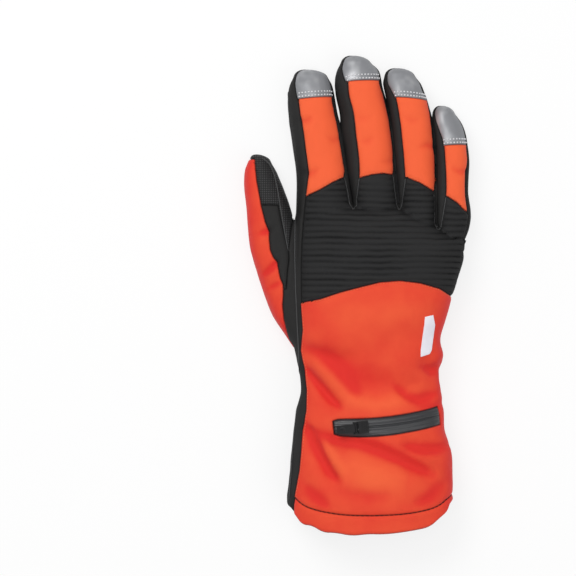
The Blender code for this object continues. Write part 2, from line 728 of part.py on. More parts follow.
def cut_back(shell):
    """Cuts what is left, the upper side, from the knuckles outwards. The rest is the back panel."""
    edge = [
        ((row.left + row.right) / 2 + (row.right - row.left) / 2 * row.edge_left, row.along)
        for row in FINGERS["index"]
        if GUSSET_EDGE[0][1] < row.along <= TIP_LINES["index"]
    ]
    gusset = [(-0.60, -0.60), (-0.60, 0.60), (GUSSET_TOP, 0.60)] + edge[::-1] + GUSSET_EDGE
    under = [(-0.60, -0.60), (0.0, -0.60), (0.0, GUSSET_ROOT), (-0.60, GUSSET_ROOT)]
    knuckle = joined_region(
        plan_region("knuckle", KNUCKLE_TOP + KNUCKLE_LOW, low=KNUCKLE_LEVEL * GLOVE_DEPTH),
        plan_region("knuckle_root", KNUCKLE_ROOT + KNUCKLE_LOW),
    )
    side = joined_region(
        plan_region("gusset", gusset), plan_region("under", under, high=GLOVE_DEPTH * WIDEST_LEVEL)
    )
    pieces = {
        "side_gusset": take(shell, "side_gusset", side),
        "knuckle_panel": take(shell, "knuckle_panel", knuckle),
    }
    for name in FINGER_NAMES:
        strip = crossed_region(
            strip_region(name, STRIP_START[name], TIP_LINES[name]),
            plan_region("foot", STRIP_FOOT[name] + [(0.60, 0.60), (-0.60, 0.60)]),
        )
        pieces["finger_back_" + name] = take(shell, "finger_back_" + name, strip)
    middles = {name: middle_line(rows) for name, rows in FINGERS.items()}
    outer = middles["little"] + [(0.60, 0.52), (0.60, 0.08)]
    pieces["little_finger_side"] = take(shell, "little_finger_side", plan_region("outer", outer))
    for left, right in zip(FINGER_NAMES, FINGER_NAMES[1:]):
        name = "fourchette_" + left + "_" + right
        region = plan_region(name, middles[left] + middles[right][::-1])
        pieces[name] = take(shell, name, region)
    pieces["back_panel"] = shell
    return pieces


def zip_outline(inset=0.0):
    """The window of the zip: its lower edge from left to right, then its upper edge back."""
    start, end = plan(ZIP_LEFT), plan(ZIP_RIGHT)
    run = (end - start).normalized()
    across = Vector((-run.y, run.x))
    start, end = start + run * inset, end - run * inset
    half = ZIP_WIDTH / 2 - inset
    lower, upper = [], []
    for i in range(ZIP_STEPS + 1):
        t = i / ZIP_STEPS
        middle = start + (end - start) * t - across * ZIP_BOW * 4 * t * (1 - t)
        taper = 0.72 if i in (0, ZIP_STEPS) else 1.0
        lower.append(middle - across * half * taper)
        upper.append(middle + across * half * taper)
    return lower + upper[::-1]


def skin_layer(name, outline, depth, thickness):
    """A sheet that follows the back of the cuff, that much below its skin."""
    sheet = body_tube(name, depth)
    under = body_tube(name + "_under", depth + thickness)
    block = prism(name + "_block", outline, GLOVE_DEPTH * WIDEST_LEVEL, ROOF)
    combine(sheet, under, "DIFFERENCE")
    combine(sheet, block, "INTERSECT")
    discard(under, block)
    sheet.name = name
    return sheet


def cut_zip(shell):
    """Cuts the window of the zip through the back and sets the coated tape in it."""
    window = prism("zip_window", zip_outline(), GLOVE_DEPTH * WIDEST_LEVEL, ROOF)
    combine(shell, window, "DIFFERENCE")
    discard(window)
    return skin_layer("zipper_tape", zip_outline(SEAM_GAP), TAPE_SINK, TAPE_THICKNESS)


def keep_largest(made):
    """Removes the crumbs that a cut leaves beside a piece."""
    shape = bmesh.new()
    shape.from_mesh(made.data)
    bodies, left = [], set(shape.verts)
    while left:
        found, edge = set(), {left.pop()}
        while edge:
            found |= edge
            edge = {e.other_vert(v) for v in edge for e in v.link_edges} - found
        left -= found
        bodies.append(found)
    largest = max(bodies, key=len)
    crumbs = [v for body in bodies if body is not largest for v in body]
    bmesh.ops.delete(shape, geom=crumbs, context="VERTS")
    shape.to_mesh(made.data)
    shape.free()


def simplify(made):
    """Merges the slivers of the cuts into the flat facets they belong to."""
    shape = bmesh.new()
    shape.from_mesh(made.data)
    bmesh.ops.dissolve_limit(
        shape, angle_limit=math.radians(FACET_ANGLE), verts=shape.verts, edges=shape.edges
    )
    bmesh.ops.triangulate(shape, faces=shape.faces)
    shape.to_mesh(made.data)
    shape.free()


def rib(made, axis, pitch, height, start, end, upward):
    """Raises every other line across the skin of a panel, so that it runs in ribs or gathers."""
    shape = bmesh.new()
    shape.from_mesh(made.data)
    bmesh.ops.dissolve_limit(
        shape, angle_limit=math.radians(FACET_ANGLE), verts=shape.verts, edges=shape.edges
    )
    facing = 1 if upward else -1
    tree = BVHTree.FromBMesh(shape)
    direction = Vector((0, 0, facing))

    def outside(point):
        return tree.ray_cast(point + direction * 1e-5, direction)[0] is None

    shape.normal_update()
    skin = {
        face
        for face in shape.faces
        if face.normal.z * facing > 0.25 and outside(face.calc_center_median())
    }
    normal = Vector((1, 0, 0)) if axis == 0 else Vector((0, 1, 0))
    across = Vector((normal.y, normal.x, 0))
    reach = [across.dot(vert.co) for face in skin for vert in face.verts]
    lines = round((max(reach) - min(reach)) / RIB_CELL)
    for i in range(1, lines):
        place = min(reach) + (max(reach) - min(reach)) * i / lines
        geometry = list({v for f in skin for v in f.verts} | {e for f in skin for e in f.edges} | skin)
        cut = bmesh.ops.bisect_plane(
            shape, geom=geometry, dist=1e-6, plane_co=across * place, plane_no=across
        )
        skin = {item for item in cut["geom"] if isinstance(item, bmesh.types.BMFace)}
    count = round((end - start) / pitch * 2)
    for i in range(1, count):
        place = start + (end - start) * i / count
        geometry = list({v for f in skin for v in f.verts} | {e for f in skin for e in f.edges} | skin)
        cut = bmesh.ops.bisect_plane(
            shape, geom=geometry, dist=1e-6, plane_co=normal * place, plane_no=normal
        )
        skin = {item for item in cut["geom"] if isinstance(item, bmesh.types.BMFace)}
        if i % 2:
            line = [item for item in cut["geom_cut"] if isinstance(item, bmesh.types.BMVert)]
            for vert in line:
                if all(face in skin for face in vert.link_faces):
                    vert.co.z += height * vert.normal.z if upward else height
    bmesh.ops.triangulate(shape, faces=shape.faces)
    shape.to_mesh(made.data)
    shape.free()


def box(name, u, v, w):
    """A block between two values along each of its own axes."""
    shape = bmesh.new()
    bmesh.ops.create_cube(shape, size=1.0)
    for vert in shape.verts:
        for i, (low, high) in enumerate((u, v, w)):
            vert.co[i] = low if vert.co[i] < 0 else high
    mesh = bpy.data.meshes.new(name)
    shape.to_mesh(mesh)
    shape.free()
    return new_object(name, mesh)


def rod(name, radius, v, u=0.0, w=0.0, sides=20):
    """A round bar along the second axis."""
    shape = bmesh.new()
    bmesh.ops.create_cone(
        shape, cap_ends=True, segments=sides, radius1=radius, radius2=radius, depth=v[1] - v[0]
    )
    bmesh.ops.rotate(shape, verts=shape.verts, matrix=Matrix.Rotation(math.pi / 2, 3, "X"))
    bmesh.ops.translate(shape, verts=shape.verts, vec=(u, (v[0] + v[1]) / 2, w))
    bmesh.ops.recalc_face_normals(shape, faces=shape.faces)
    mesh = bpy.data.meshes.new(name)
    shape.to_mesh(mesh)
    shape.free()
    return new_object(name, mesh)


def make_slider():
    """The slider: a grooved block, a low tongue, two posts and the pin that the pull hangs on. Its
    origin is on the pin, with the zip's teeth towards +X."""
    half = SLIDER_WIDTH / 2
    base = -PIN_HEIGHT
    block = box("zipper_slider", (PIN_TO_BLOCK, SLIDER_LENGTH), (-half, half), (base, base + SLIDER_HEIGHT))
    tongue = box("tongue", (-PIN_TO_BLOCK, PIN_TO_BLOCK * 1.5), (-half, half), (base, base + TONGUE_HEIGHT))
    fused(block, tongue)
    inner = PULL_WIDTH / 2 + PIN_CLEARANCE
    reach = PIN_RADIUS * 1.9
    for side in (-1, 1):
        across = sorted((side * inner, side * half))
        fused(block, box("post", (-reach, reach), across, (base + TONGUE_HEIGHT / 2, reach)))
    fused(block, rod("pin", PIN_RADIUS, (-inner - 0.0002, inner + 0.0002)))
    for i in range(3):
        u = PIN_TO_BLOCK + (SLIDER_LENGTH - PIN_TO_BLOCK) * (0.32 + 0.22 * i)
        top = base + SLIDER_HEIGHT
        groove = box("groove", (u, u + 0.0006), (-half * 0.8, half * 0.8), (top - 0.0004, top + 0.001))
        combine(block, groove, "DIFFERENCE")
        discard(groove)
    return block


def make_pull():
    """The pull: a plate with an eye that turns on the pin, and a grip hole near its free end."""
    half = PULL_WIDTH / 2
    eye = PULL_THICKNESS / 2 + 0.0004
    plate = rod("zipper_pull", eye, (-half, half))
    fused(plate, box("plate", (-PULL_LENGTH, 0.0), (-half, half), (-PULL_THICKNESS / 2, PULL_THICKNESS / 2)))
    bore = rod("bore", PIN_RADIUS + PIN_CLEARANCE, (-half - 0.001, half + 0.001))
    combine(plate, bore, "DIFFERENCE")
    slot = box("slot", (-PULL_LENGTH * 0.82, -PULL_LENGTH * 0.55), (-half * 0.45, half * 0.45), (-0.002, 0.002))
    combine(plate, slot, "DIFFERENCE")
    discard(bore, slot)
    return plate


def top_of(made, x, y):
    """The height of a piece under a point."""
    hit, place, _, _ = made.ray_cast(Vector((x, y, ROOF)), Vector((0, 0, -1)))
    return place.z if hit else 0.0


def place_slider(slider, pull, tape):
    """Sets the slider on the tape near its left end, level with the tape along the zip."""
    start, end = plan(ZIP_LEFT), plan(ZIP_RIGHT)
    run = (end - start).normalized()
    spot = start + run * SLIDER_PLACE + Vector((run.y, -run.x)) * SLIDER_DROP
    footprint = [
        spot + run * u + Vector((-run.y, run.x)) * v
        for u in (-PIN_TO_BLOCK, SLIDER_LENGTH / 2, SLIDER_LENGTH)
        for v in (-SLIDER_WIDTH / 2, 0.0, SLIDER_WIDTH / 2)
    ]
    rest = max(top_of(tape, point.x, point.y) for point in footprint) + SEAM_GAP
    anchor = bpy.data.objects.new("pull_hinge", None)
    PARTS.objects.link(anchor)
    anchor.empty_display_size = 0.005
    anchor.location = (spot.x, spot.y, rest + PIN_HEIGHT)
    anchor.rotation_euler = (0, 0, math.atan2(run.y, run.x))
    slider.parent = pull.parent = anchor


def material(name, colour, roughness, metallic=0.0):
    made = bpy.data.materials.new(name)
    made.use_nodes = True
    shader = made.node_tree.nodes["Principled BSDF"]
    shader.inputs["Base Color"].default_value = (*colour, 1.0)
    shader.inputs["Roughness"].default_value = roughness
    shader.inputs["Metallic"].default_value = metallic
    made.diffuse_color = (*colour, 1.0)
    return made


def finish(made, coating):
    """Makes a finished piece part of the glove."""
    made.data.materials.clear()
    made.data.materials.append(coating)
    HELPERS.objects.unlink(made)
    PARTS.objects.link(made)
    made.hide_render = False
    made.display_type = "TEXTURED"


def main():
    for old in list(bpy.data.objects):
        bpy.data.objects.remove(old)
    scene = bpy.context.scene
    scene.unit_settings.system = "METRIC"
    scene.collection.children.link(PARTS)
    scene.collection.children.link(HELPERS)
    shell = build_shell()
    pieces = cut_thumb(shell)
    hem = take(shell, "hem_back", plan_region("hem", below(HEM_LINE), lean=CUFF_LEAN))
    pieces["hem_palm"] = take(hem, "hem_palm", palm_side)
    pieces["hem_back"] = hem
    for cut in (cut_fingers, cut_palm, cut_back):
        pieces.update(cut(shell))
    back = pieces["back_panel"]
    back.name = "back_panel"
    pieces["zipper_tape"] = cut_zip(back)
    patch = [plan(point) for point in WHITE_PATCH]
    pieces["white_patch"] = skin_layer(
        "white_patch", patch, -SEAM_GAP - PATCH_THICKNESS, PATCH_THICKNESS
    )
    for made in pieces.values():
        keep_largest(made)
        simplify(made)
    ends = [point[1] * GLOVE_LENGTH for point in (KNUCKLE_LOW[0], KNUCKLE_TOP[8])]
    rib(pieces["knuckle_panel"], 1, RIB_PITCH, RIB_HEIGHT, ends[0], ends[1], True)
    rib(
        pieces["cuff_palm"], 0, GATHER_PITCH, GATHER_HEIGHT, BODY[7].left * GLOVE_WIDTH,
        BODY[7].right * GLOVE_WIDTH, False
    )
    pieces["zipper_slider"] = make_slider()
    pieces["zipper_pull"] = make_pull()
    place_slider(pieces["zipper_slider"], pieces["zipper_pull"], pieces["zipper_tape"])
    coatings = {name: material(name, *look) for name, look in COATINGS.items()}
    for name, made in pieces.items():
        made.data.name = name
        finish(made, coatings[coating_of(name)])
    for helper in list(HELPERS.objects):
        discard(helper)


def coating_of(name):
    for start, coating in COATING_OF.items():
        if name.startswith(start):
            return coating
    return "black_softshell"


if __name__ == "__main__":
    main()
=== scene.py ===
"""An insulated high-visibility work glove for a right hand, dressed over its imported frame.

The glove lies palm down with its fingers along +Y and its thumb on the -X side. Its padded form is
lofted and fused once, then parted along its seams into the panels that a glove maker sews together.
Each panel is puffed, creased, given its cloth thickness and stitched. All lengths are in metres.
"""

from __future__ import annotations

import json
import logging
import math
from dataclasses import dataclass, field
from enum import Enum
from typing import Callable, Iterable, Sequence

import bmesh
import bpy
import numpy as np
from mathutils import Matrix, Vector, noise
from mathutils.bvhtree import BVHTree
from mathutils.kdtree import KDTree

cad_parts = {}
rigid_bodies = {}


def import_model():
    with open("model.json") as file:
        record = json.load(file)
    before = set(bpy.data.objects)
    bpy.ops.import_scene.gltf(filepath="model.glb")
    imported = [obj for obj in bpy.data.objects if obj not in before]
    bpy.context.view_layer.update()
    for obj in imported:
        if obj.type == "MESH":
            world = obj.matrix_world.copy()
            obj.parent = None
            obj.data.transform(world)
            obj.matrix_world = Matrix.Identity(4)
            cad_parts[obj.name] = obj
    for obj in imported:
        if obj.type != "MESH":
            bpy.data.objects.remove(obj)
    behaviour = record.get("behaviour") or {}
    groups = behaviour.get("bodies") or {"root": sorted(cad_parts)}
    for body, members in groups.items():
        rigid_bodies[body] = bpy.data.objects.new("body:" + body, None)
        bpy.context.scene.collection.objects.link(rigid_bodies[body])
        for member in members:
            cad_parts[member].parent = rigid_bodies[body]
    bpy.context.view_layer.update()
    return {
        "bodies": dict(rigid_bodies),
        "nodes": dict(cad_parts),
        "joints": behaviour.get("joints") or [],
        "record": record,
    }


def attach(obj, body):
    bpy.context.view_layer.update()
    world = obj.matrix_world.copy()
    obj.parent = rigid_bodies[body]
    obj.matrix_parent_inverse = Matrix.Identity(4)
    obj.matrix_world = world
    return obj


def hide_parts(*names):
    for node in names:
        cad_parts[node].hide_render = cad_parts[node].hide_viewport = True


LOG = logging.getLogger("work_glove")
GLOVE = "glove"
LENGTH = 0.300
WIDTH = 0.1425
DEPTH = 0.044
WIDEST = 0.47
TOP_POWER = 2.3
SOLE_POWER = 2.8

TURNED = Matrix.Rotation(math.pi / 2, 4, "Y")
FORWARD = Vector((0, 1, 0))
BACKWARD = Vector((0, -1, 0))
RIGHT = Vector((1, 0, 0))

Shares = Sequence[tuple[float, float]]
Settle = Callable[[np.ndarray, np.ndarray], np.ndarray]
Test = Callable[[np.ndarray], np.ndarray]

# The skin: how finely its tubes are lofted and fused, and the levels that part its pieces.
HAND_GRID = (150, 240)
DIGIT_GRID = (84, 110)
VOXEL = 0.0009
SMOOTHINGS = 5
SEAM_LEVEL = 0.0085
TIP_LEVEL = 0.0105
GUSSET_LEVEL = WIDEST * DEPTH
KNUCKLE_LEVEL = 0.44 * DEPTH
LOWEST = 0.0008
CUFF_LEAN = 0.008
OUTSIDE = 0.60

# A digit: how deep it is, how its end is rounded, and how far off its skin a strip still counts.
FINGER_DEPTH = 0.026
THUMB_DEPTH = 0.027
DIGIT_FLOOR = 0.0004
DOME = 0.0054
DOME_SHARE = 0.11
DOME_TURN = 0.985
DOME_LEAN = 0.32
REACH = 0.0015
STRIP_MARGIN = 0.004
TIP_BOW = 0.0006
TIP_SPREAD = 0.016
TIP_SIDES = (-0.86, 0.98)
EDGE_MOST = 0.985
WRAP_MARGIN = 0.0025

# The front of the hand, which falls back towards the little finger.
FRONT_START = 0.115
FRONT_FALL = 0.25
FRONT_LEFT = 0.180
FRONT_RIGHT = 0.462
FRONT_EASE = 0.03

# The ribs of the knuckle panel and the gathers of the wrist.
RIB_PITCH = 0.00375
RIB_EDGE = 0.0025
RIB_DEPTH = 0.0015
RIB_SLOPE = 0.55
GATHER_PITCH = 0.0062

# The zip: the ends of its middle line, its bow, its width, and how its left end narrows.
ZIP_LEFT = (-0.109, -0.2755)
ZIP_RIGHT = (0.360, -0.2508)
ZIP_BOW = 0.0026
ZIP_WIDTH = 0.0115
ZIP_TAPER = 0.26
TAPE_THICK = 0.0008

# How thick the cloth of the panels, the hem and the tab is, and how far the tab stands off the back.
CLOTH_THICK = 0.0014
HEM_THICK = 0.0026
TAB_THICK = 0.0007
TAB_LIFT = 0.00055

# The pattern, as shares of the length, width and depth. The rows run from the cuff to the tips.
# HAND_ROWS holds the place along the glove, the left and right side, the lowest and highest level.
# FINGER_ROWS holds the place, the left and right side, and the edges of the strip on the finger's
# back as shares of its half width.
# THUMB_ROWS holds the same, then the far edges of the pieces on the upper and under side.
# DIGIT_PROFILE holds the place along a digit, its lowest and its highest level.
# FOLDS holds the two ends of each main fold of the cuff, its width and its depth.
HAND_ROWS = (
    (-0.54, -0.3, 0.411, -0.05, 1), (-0.469, -0.305, 0.414, -0.05, 1),
    (-0.437, -0.311, 0.418, -0.05, 1), (-0.385, -0.303, 0.416, -0.05, 0.99),
    (-0.323, -0.293, 0.412, -0.05, 0.97), (-0.281, -0.284, 0.384, -0.02, 0.94),
    (-0.24, -0.27, 0.379, 0.02, 0.9), (-0.198, -0.25, 0.366, 0.06, 0.86),
    (-0.169, -0.256, 0.357, 0.06, 0.86), (-0.135, -0.27, 0.379, 0.03, 0.88),
    (-0.094, -0.286, 0.365, -0.03, 0.92), (-0.05, -0.284, 0.390, -0.06, 0.96),
    (-0.01, -0.28, 0.412, -0.06, 0.97), (0.031, -0.28, 0.438, -0.06, 0.95),
    (0.083, -0.28, 0.469, -0.06, 0.9), (0.115, -0.278, 0.474, -0.05, 0.84),
    (0.135, -0.276, 0.484, -0.04, 0.78), (0.156, -0.272, 0.49, -0.02, 0.71),
    (0.175, -0.262, 0.478, 0.06, 0.62), (0.186, -0.235, 0.44, 0.2, 0.48),
)
FINGER_ROWS = {
    "index": (
        (0.08, -0.262, -0.02, -0.95, 0.9), (0.187, -0.268, -0.018, -0.8, 0.89),
        (0.219, -0.268, -0.028, -0.68, 0.9), (0.26, -0.27, -0.041, -0.58, 0.9),
        (0.302, -0.281, -0.054, -0.57, 0.89), (0.344, -0.294, -0.069, -0.55, 0.89),
        (0.375, -0.305, -0.085, -0.55, 0.91), (0.406, -0.309, -0.097, -0.57, 0.9),
        (0.427, -0.306, -0.105, -0.57, 0.9), (0.443, -0.298, -0.114, -0.58, 0.86),
        (0.4558, -0.284, -0.131, -0.62, 0.86),
    ),
    "middle": (
        (0.08, -0.018, 0.186, -0.92, 0.90), (0.187, -0.018, 0.187, -0.86, 0.86),
        (0.219, -0.029, 0.179, -0.73, 0.91), (0.26, -0.044, 0.172, -0.56, 0.92),
        (0.302, -0.055, 0.164, -0.52, 0.95), (0.333, -0.068, 0.157, -0.49, 0.95),
        (0.385, -0.081, 0.138, -0.48, 0.96), (0.417, -0.096, 0.12, -0.49, 0.97),
        (0.448, -0.101, 0.107, -0.48, 0.92), (0.4596, -0.098, 0.103, -0.52, 0.92),
        (0.4758, -0.088, 0.088, -0.58, 0.92), (0.4848, -0.075, 0.060, -0.64, 0.9),
    ),
    "ring": (
        (0.06, 0.183, 0.350, -0.92, 0.9), (0.15, 0.183, 0.352, -0.88, 0.88),
        (0.198, 0.179, 0.353, -0.76, 0.92), (0.24, 0.169, 0.352, -0.62, 0.93),
        (0.281, 0.161, 0.348, -0.59, 0.95), (0.323, 0.153, 0.341, -0.59, 0.94),
        (0.354, 0.146, 0.334, -0.59, 0.95), (0.385, 0.137, 0.322, -0.59, 0.97),
        (0.412, 0.128, 0.307, -0.6, 0.97), (0.4305, 0.118, 0.292, -0.62, 0.88),
        (0.443, 0.112, 0.281, -0.64, 0.88), (0.4587, 0.119, 0.254, -0.68, 0.86),
    ),
    "little": (
        (0.01, 0.31, 0.385, -0.9, 0.86), (0.1, 0.342, 0.456, -0.88, 0.86),
        (0.128, 0.343, 0.484, -0.88, 0.86), (0.155, 0.343, 0.498, -0.80, 0.84),
        (0.178, 0.342, 0.498, -0.62, 0.84), (0.205, 0.34, 0.49, -0.42, 0.85),
        (0.245, 0.341, 0.492, -0.42, 0.82), (0.281, 0.342, 0.494, -0.49, 0.91),
        (0.313, 0.34, 0.487, -0.52, 0.92), (0.34, 0.334, 0.477, -0.58, 0.92),
        (0.3647, 0.329, 0.455, -0.64, 0.91), (0.3795, 0.331, 0.43, -0.68, 0.91),
    ),
}
DIGIT_PROFILE = (
    (0, -0.08, 1.05), (0.3, -0.06, 1.03), (0.6, -0.02, 1), (0.8, -0.05, 0.96), (0.9, -0.05, 0.90),
    (0.96, -0.01, 0.84), (1, 0.05, 0.76),
)
TIP_LINES = {"index": 0.411, "middle": 0.447, "ring": 0.411, "little": 0.312}
WRAP_LINES = {"index": 0.428, "middle": 0.462, "ring": 0.438, "little": 0.354}
STRIP_START = {"index": 0.19, "middle": 0.19, "ring": 0.165, "little": 0.13}
THUMB_ROWS = (
    (-0.115, -0.276, -0.16, -0.97, 0.6, -0.96, 0.97), (-0.083, -0.32, -0.15, -0.94, 0.1, -0.92, 0.9),
    (-0.042, -0.373, -0.16, -0.54, -0.28, -0.5, 0.72), (0, -0.412, -0.18, -0.21, -0.35, -0.18, 0.45),
    (0.042, -0.443, -0.21, -0.14, -0.43, 0.14, 0.2), (0.083, -0.469, -0.238, -0.17, -0.46, 0.46, 0.1),
    (0.125, -0.482, -0.262, -0.19, -0.53, 0.48, 0.02),
    (0.167, -0.491, -0.287, -0.26, -0.6, 0.49, 0.02), (0.208, -0.498, -0.313, -0.32, -0.6, 0.57, 0.06),
    (0.24, -0.5, -0.341, -0.32, -0.58, 0.66, 0.15), (0.262, -0.495, -0.362, -0.32, -0.55, 0.74, 0.3),
    (0.277, -0.484, -0.381, -0.38, -0.55, 0.78, 0.4),
)
KNUCKLE_TOP = (
    (-0.3, 0.206), (-0.232, 0.206), (-0.17, 0.219), (-0.11, 0.235), (-0.054, 0.247), (-0.022, 0.181),
    (-0.016, 0.181), (0.003, 0.244), (0.06, 0.251), (0.11, 0.254), (0.160, 0.252), (0.180, 0.181),
    (0.187, 0.181), (0.207, 0.246), (0.27, 0.235), (0.340, 0.217), (0.351, 0.139), (0.360, 0.139),
    (0.386, 0.207), (0.44, 0.192), (0.485, 0.172), (0.6, 0.172),
)
KNUCKLE_LOW = (
    (0.6, -0.003), (0.415, -0.003), (0.36, 0.013), (0.272, 0.025), (0.184, 0.03), (0.096, 0.027),
    (0.009, 0.017), (-0.079, 0.006), (-0.167, -0.008), (-0.3, -0.02),
)
KNUCKLE_ROOT = (
    (-0.3, 0.16), (0.18, 0.16), (0.36, 0.12), (0.6, 0.05),
)
GUSSET_EDGE = (
    (-0.232, 0.206), (-0.241, 0.167), (-0.25, 0.115), (-0.254, 0.06), (-0.252, -0.02),
    (-0.244, -0.073), (-0.253, -0.115), (-0.236, -0.155), (-0.226, -0.198), (-0.228, -0.24),
    (-0.244, -0.281), (-0.25, -0.323), (-0.258, -0.365), (-0.272, -0.4), (-0.286, -0.437),
    (-0.292, -0.6),
)
HEM_LINE = (
    (-0.6, -0.425), (-0.289, -0.425), (-0.263, -0.437), (-0.22, -0.447), (-0.11, -0.455),
    (0.009, -0.458), (0.184, -0.456), (0.29, -0.451), (0.36, -0.444), (0.405, -0.429), (0.6, -0.42),
)
CUFF_END_LINE = (
    (-0.6, -0.440), (-0.303, -0.450), (-0.280, -0.468), (-0.2518, -0.4842), (-0.2070, -0.4827),
    (-0.1557, -0.4956), (-0.1018, -0.4942), (-0.0294, -0.5000), (0.0425, -0.4956), (0.1000, -0.4966),
    (0.1570, -0.4950), (0.2592, -0.4898), (0.3193, -0.4856), (0.3614, -0.4713), (0.3974, -0.4613),
    (0.4123, -0.4413), (0.6, -0.430),
)
PALM_CUFF_LINE = (
    (-0.6, -0.16), (-0.25, -0.16), (-0.1, -0.168), (0.1, -0.18), (0.3, -0.186), (0.6, -0.186),
)
PATCH_LINE = (
    (-0.206, 0.088), (-0.175, 0.119), (-0.149, 0.138), (-0.088, 0.112), (-0.053, 0.077),
    (-0.044, 0.042), (-0.053, 0), (-0.079, -0.042), (-0.118, -0.083), (-0.158, -0.056),
    (-0.202, -0.021), (-0.241, 0.015), (-0.246, 0.05),
)
TAB_LINE = (
    (0.293, -0.046), (0.329, -0.042), (0.338, -0.063), (0.323, -0.115), (0.314, -0.123),
    (0.275, -0.129), (0.275, -0.115), (0.290, -0.063),
)
THUMB_VALLEY = (
    (-0.312, 0.4), (-0.3, 0.23), (-0.282, 0.158), (-0.3, 0.1), (-0.318, 0.06), (-0.33, 0.012),
)
THUMB_SEAM = (
    (-0.276, 0.158), (-0.242, 0.11), (-0.224, 0.088), (-0.258, 0.055), (-0.27, 0.04), (-0.262, 0.012),
    (-0.25, -0.01),
)
FOLDS = (
    (-0.25, -0.118, -0.05, -0.135, 0.022, 0.05), (-0.22, -0.16, -0.1, -0.225, 0.016, 0.055),
    (0.06, -0.19, 0.3, -0.2, 0.028, 0.045), (0.3, -0.145, 0.38, -0.17, 0.018, 0.06),
    (-0.23, -0.29, -0.11, -0.385, 0.017, 0.055), (-0.08, -0.31, 0.3, -0.37, 0.02, 0.055),
    (0.23, -0.308, 0.41, -0.322, 0.018, 0.045),
)
TIP_TILT = {"index": 0.085, "middle": 0.05, "ring": -0.07, "little": 0.07}

# The edge of the thumb's strip that shows from above, as places along and across it in metres.
THUMB_EDGE = (
    (0.0870, -0.0655), (0.0844, -0.0650), (0.0719, -0.0637), (0.0625, -0.0619), (0.0550, -0.0606),
    (0.0456, -0.0581), (0.0394, -0.0556), (0.0344, -0.0556), (0.0281, -0.0550), (0.0237, -0.0531),
    (0.0206, -0.0506), (0.0169, -0.0500), (0.0106, -0.0487), (0.0062, -0.0469), (0.0000, -0.0469),
    (-0.0062, -0.0475), (-0.0156, -0.0469), (-0.0219, -0.0456), (-0.0331, -0.0425),
)

# Where the strips along the fingers start, as lines across the glove.
STRIP_FOOT = {
    "index": ((-0.60, 0.195), (-0.232, 0.200), (-0.170, 0.214), (-0.110, 0.230), (-0.060, 0.241),
              (-0.052, 0.262), (0.60, 0.262)),
    "middle": ((-0.60, 0.262), (-0.004, 0.262), (0.002, 0.240), (0.060, 0.247), (0.156, 0.248),
               (0.164, 0.262), (0.60, 0.262)),
    "ring": ((-0.60, 0.262), (0.200, 0.262), (0.206, 0.243), (0.270, 0.230), (0.339, 0.213),
             (0.346, 0.240), (0.60, 0.240)),
    "little": ((-0.60, 0.232), (0.380, 0.232), (0.386, 0.202), (0.440, 0.187), (0.60, 0.140)),
}

# The courses of the piping down the side and along the thumb, in millimetres.
SIDE_CORDS = (
    (
        (-43.5, 128), (-44.2, 118), (-42.6, 104), (-40.9, 97), (-39.2, 84), (-38.6, 62), (-38.6, 55),
        (-39.6, 46), (-40.2, 27), (-40.0, 6), (-37.5, -22), (-36.6, -40), (-35.6, -50), (-36.0, -60),
        (-38.2, -70), (-40.8, -90), (-41.4, -99), (-40.6, -112), (-43.0, -128),
    ),
    (
        (-61.0, 86.2), (-57.5, 86.0), (-54.0, 83.0), (-52.4, 78.0), (-50.6, 70.6), (-47.9, 54.8),
        (-46.6, 33.8), (-43.6, 27.6),
    ),
)


class Panel(Enum):
    """The sewn pieces of the glove, by the node that each stands for."""

    CUT_AWAY = "cut_away"
    BACK = "back_panel"
    KNUCKLE = "knuckle_panel"
    GUSSET = "side_gusset"
    LITTLE_SIDE = "little_finger_side"
    BACK_INDEX = "finger_back_index"
    BACK_MIDDLE = "finger_back_middle"
    BACK_RING = "finger_back_ring"
    BACK_LITTLE = "finger_back_little"
    TIP_INDEX = "fingertip_index"
    TIP_MIDDLE = "fingertip_middle"
    TIP_RING = "fingertip_ring"
    TIP_LITTLE = "fingertip_little"
    WRAP_INDEX = "tip_wrap_index"
    WRAP_MIDDLE = "tip_wrap_middle"
    WRAP_RING = "tip_wrap_ring"
    WRAP_LITTLE = "tip_wrap_little"
    BETWEEN_1 = "fourchette_index_middle"
    BETWEEN_2 = "fourchette_middle_ring"
    BETWEEN_3 = "fourchette_ring_little"
    PALM = "palm_panel"
    PATCH = "palm_patch"
    CUFF_PALM = "cuff_palm"
    HEM_BACK = "hem_back"
    HEM_PALM = "hem_palm"
    THUMB_BACK = "thumb_back"
    THUMB_UPPER = "thumb_side_upper"
    THUMB_LOWER = "thumb_side_lower"
    THUMB_PALM = "thumb_palm"
    ZIP = "zipper_tape"


ORDER = list(Panel)
NUMBER = {panel: i for i, panel in enumerate(ORDER)}
FINGERS = ("index", "middle", "ring", "little")
BETWEEN = (Panel.BETWEEN_1, Panel.BETWEEN_2, Panel.BETWEEN_3)

# Where neighbouring fingers stop touching, in metres along the glove.
CONTACTS = dict(zip(BETWEEN, (0.112, 0.131, 0.119)))


